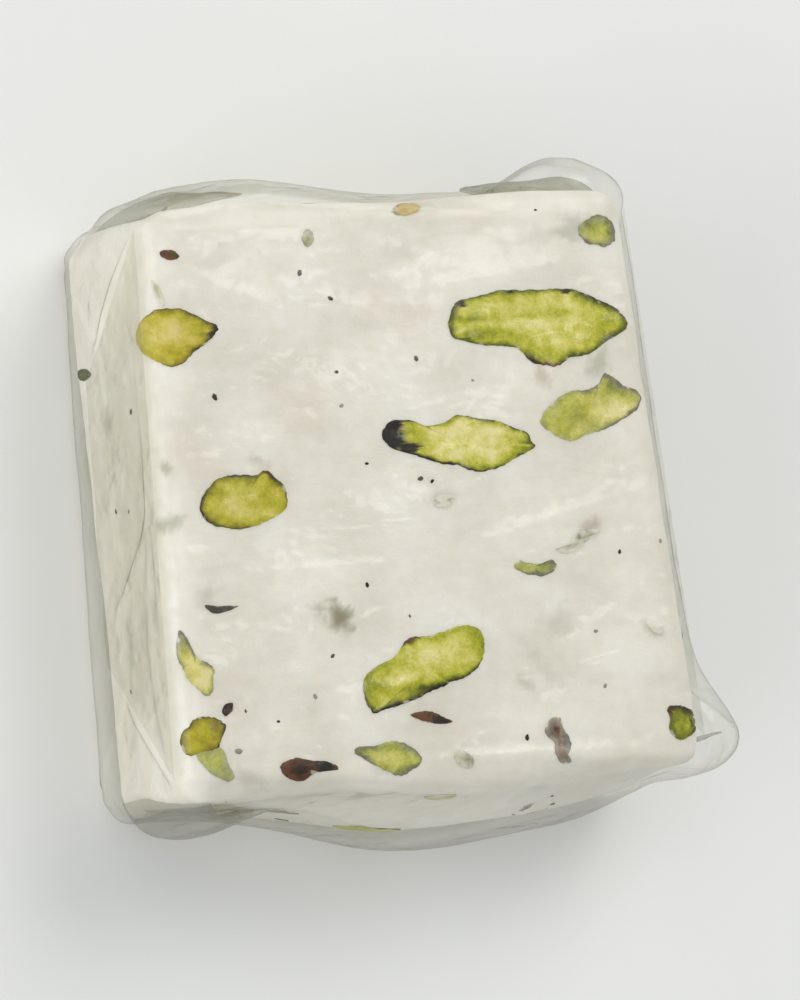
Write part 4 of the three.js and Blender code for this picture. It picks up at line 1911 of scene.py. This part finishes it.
@dataclass
class NougatBar:
    """The whole wrapped bar.

    Attributes:
        shape: The bar's form.
        cuts: How many large, middling and small cut pieces to try for on each side chosen at random.
        stained: How many covered pieces each such side has.
        crumbed: How many crumbs each side has, other than the face.
    """

    shape: BarShape
    cuts: tuple[tuple[Side, tuple[int, int, int]], ...] = (
        (Side.BACK, (5, 6, 12)), (Side.RIGHT, (2, 3, 6)), (Side.HEAD, (2, 3, 6)), (Side.FOOT, (0, 2, 4))
    )
    stained: tuple[tuple[Side, int], ...] = (
        (Side.BACK, 12), (Side.RIGHT, 6), (Side.HEAD, 6), (Side.FOOT, 4)
    )
    crumbed: tuple[tuple[Side, int], ...] = (
        (Side.BACK, 24), (Side.LEFT, 4), (Side.RIGHT, 8), (Side.HEAD, 8), (Side.FOOT, 6)
    )

    def nut_cuts(self, scatter: NutScatter) -> tuple[NutCut, ...]:
        """Every cut piece of nut, those of the face and the left side first."""
        chosen = tuple(cut for side, counts in self.cuts for cut in scatter.cuts(side, counts))
        return FACE_NUTS + LEFT_NUTS + chosen

    def stains(self, scatter: NutScatter) -> tuple[Stain, ...]:
        """Every covered piece of nut, those of the face and the left side first."""
        chosen = tuple(stain for side, count in self.stained for stain in scatter.stains(side, count))
        return FACE_STAINS + LEFT_STAINS + chosen

    def crumbs(self, scatter: NutScatter) -> dict[Side, list[tuple[float, float]]]:
        """Every fine crumb's place, by side."""
        chosen = {side: scatter.crumbs(side, count) for side, count in self.crumbed}
        return {Side.FACE: list(FACE_CRUMBS)} | chosen

    def build(self) -> None:
        """Builds the sweet, its nuts and the film, and hides the solid that they stand for."""
        scatter = NutScatter(self.shape)
        film = FilmFinish().material()
        folded = FilmFinish("clear_folded_film", haze_high=0.01, head_on=0.012, edge_on=0.3).material()
        # The ears' film is tinted grey: painted shade for the shadow seen through them, beyond what doubled
        # film takes away.
        gathered = FilmFinish(
            "clear_gathered_film", "e9e9e4", haze_high=0.05, head_on=0.05, edge_on=0.45
        ).material()
        pistachio = PistachioFinish().material()
        block = NougatBlock(self.shape, stains=self.stains(scatter))
        sweet = block.build()
        nuts = NutPieces(block, self.nut_cuts(scatter)).build()
        crumbs = NutCrumbs(block, self.crumbs(scatter)).build()
        main = finish_piece(sweet, "nougat_block", self.shape, NougatFinish().material())
        finish_piece(nuts, "pistachio_cuts", self.shape, pistachio)
        finish_piece(crumbs, "pistachio_crumbs", self.shape, pistachio)
        wrap = finish_piece(FilmWrap(self.shape).build(), "film_wrap", self.shape, film)
        finish_piece(FilmFlaps(self.shape).build(), "film_flaps", self.shape, folded)
        finish_piece(FilmEars(self.shape).build(), "film_ears", self.shape, gathered)
        finish_piece(FilmSeam(self.shape).build(), "film_back_seam", self.shape, folded)
        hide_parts(NODE)
        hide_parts(NODE)


def main() -> None:
    """Builds the studio and the bar."""
    logging.basicConfig(level=logging.INFO, format="%(name)s: %(message)s")
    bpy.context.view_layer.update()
    shape = BarShape()
    Studio(shape).build()
    NougatBar(shape).build()
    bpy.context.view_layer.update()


if __name__ == "__main__":
    main()
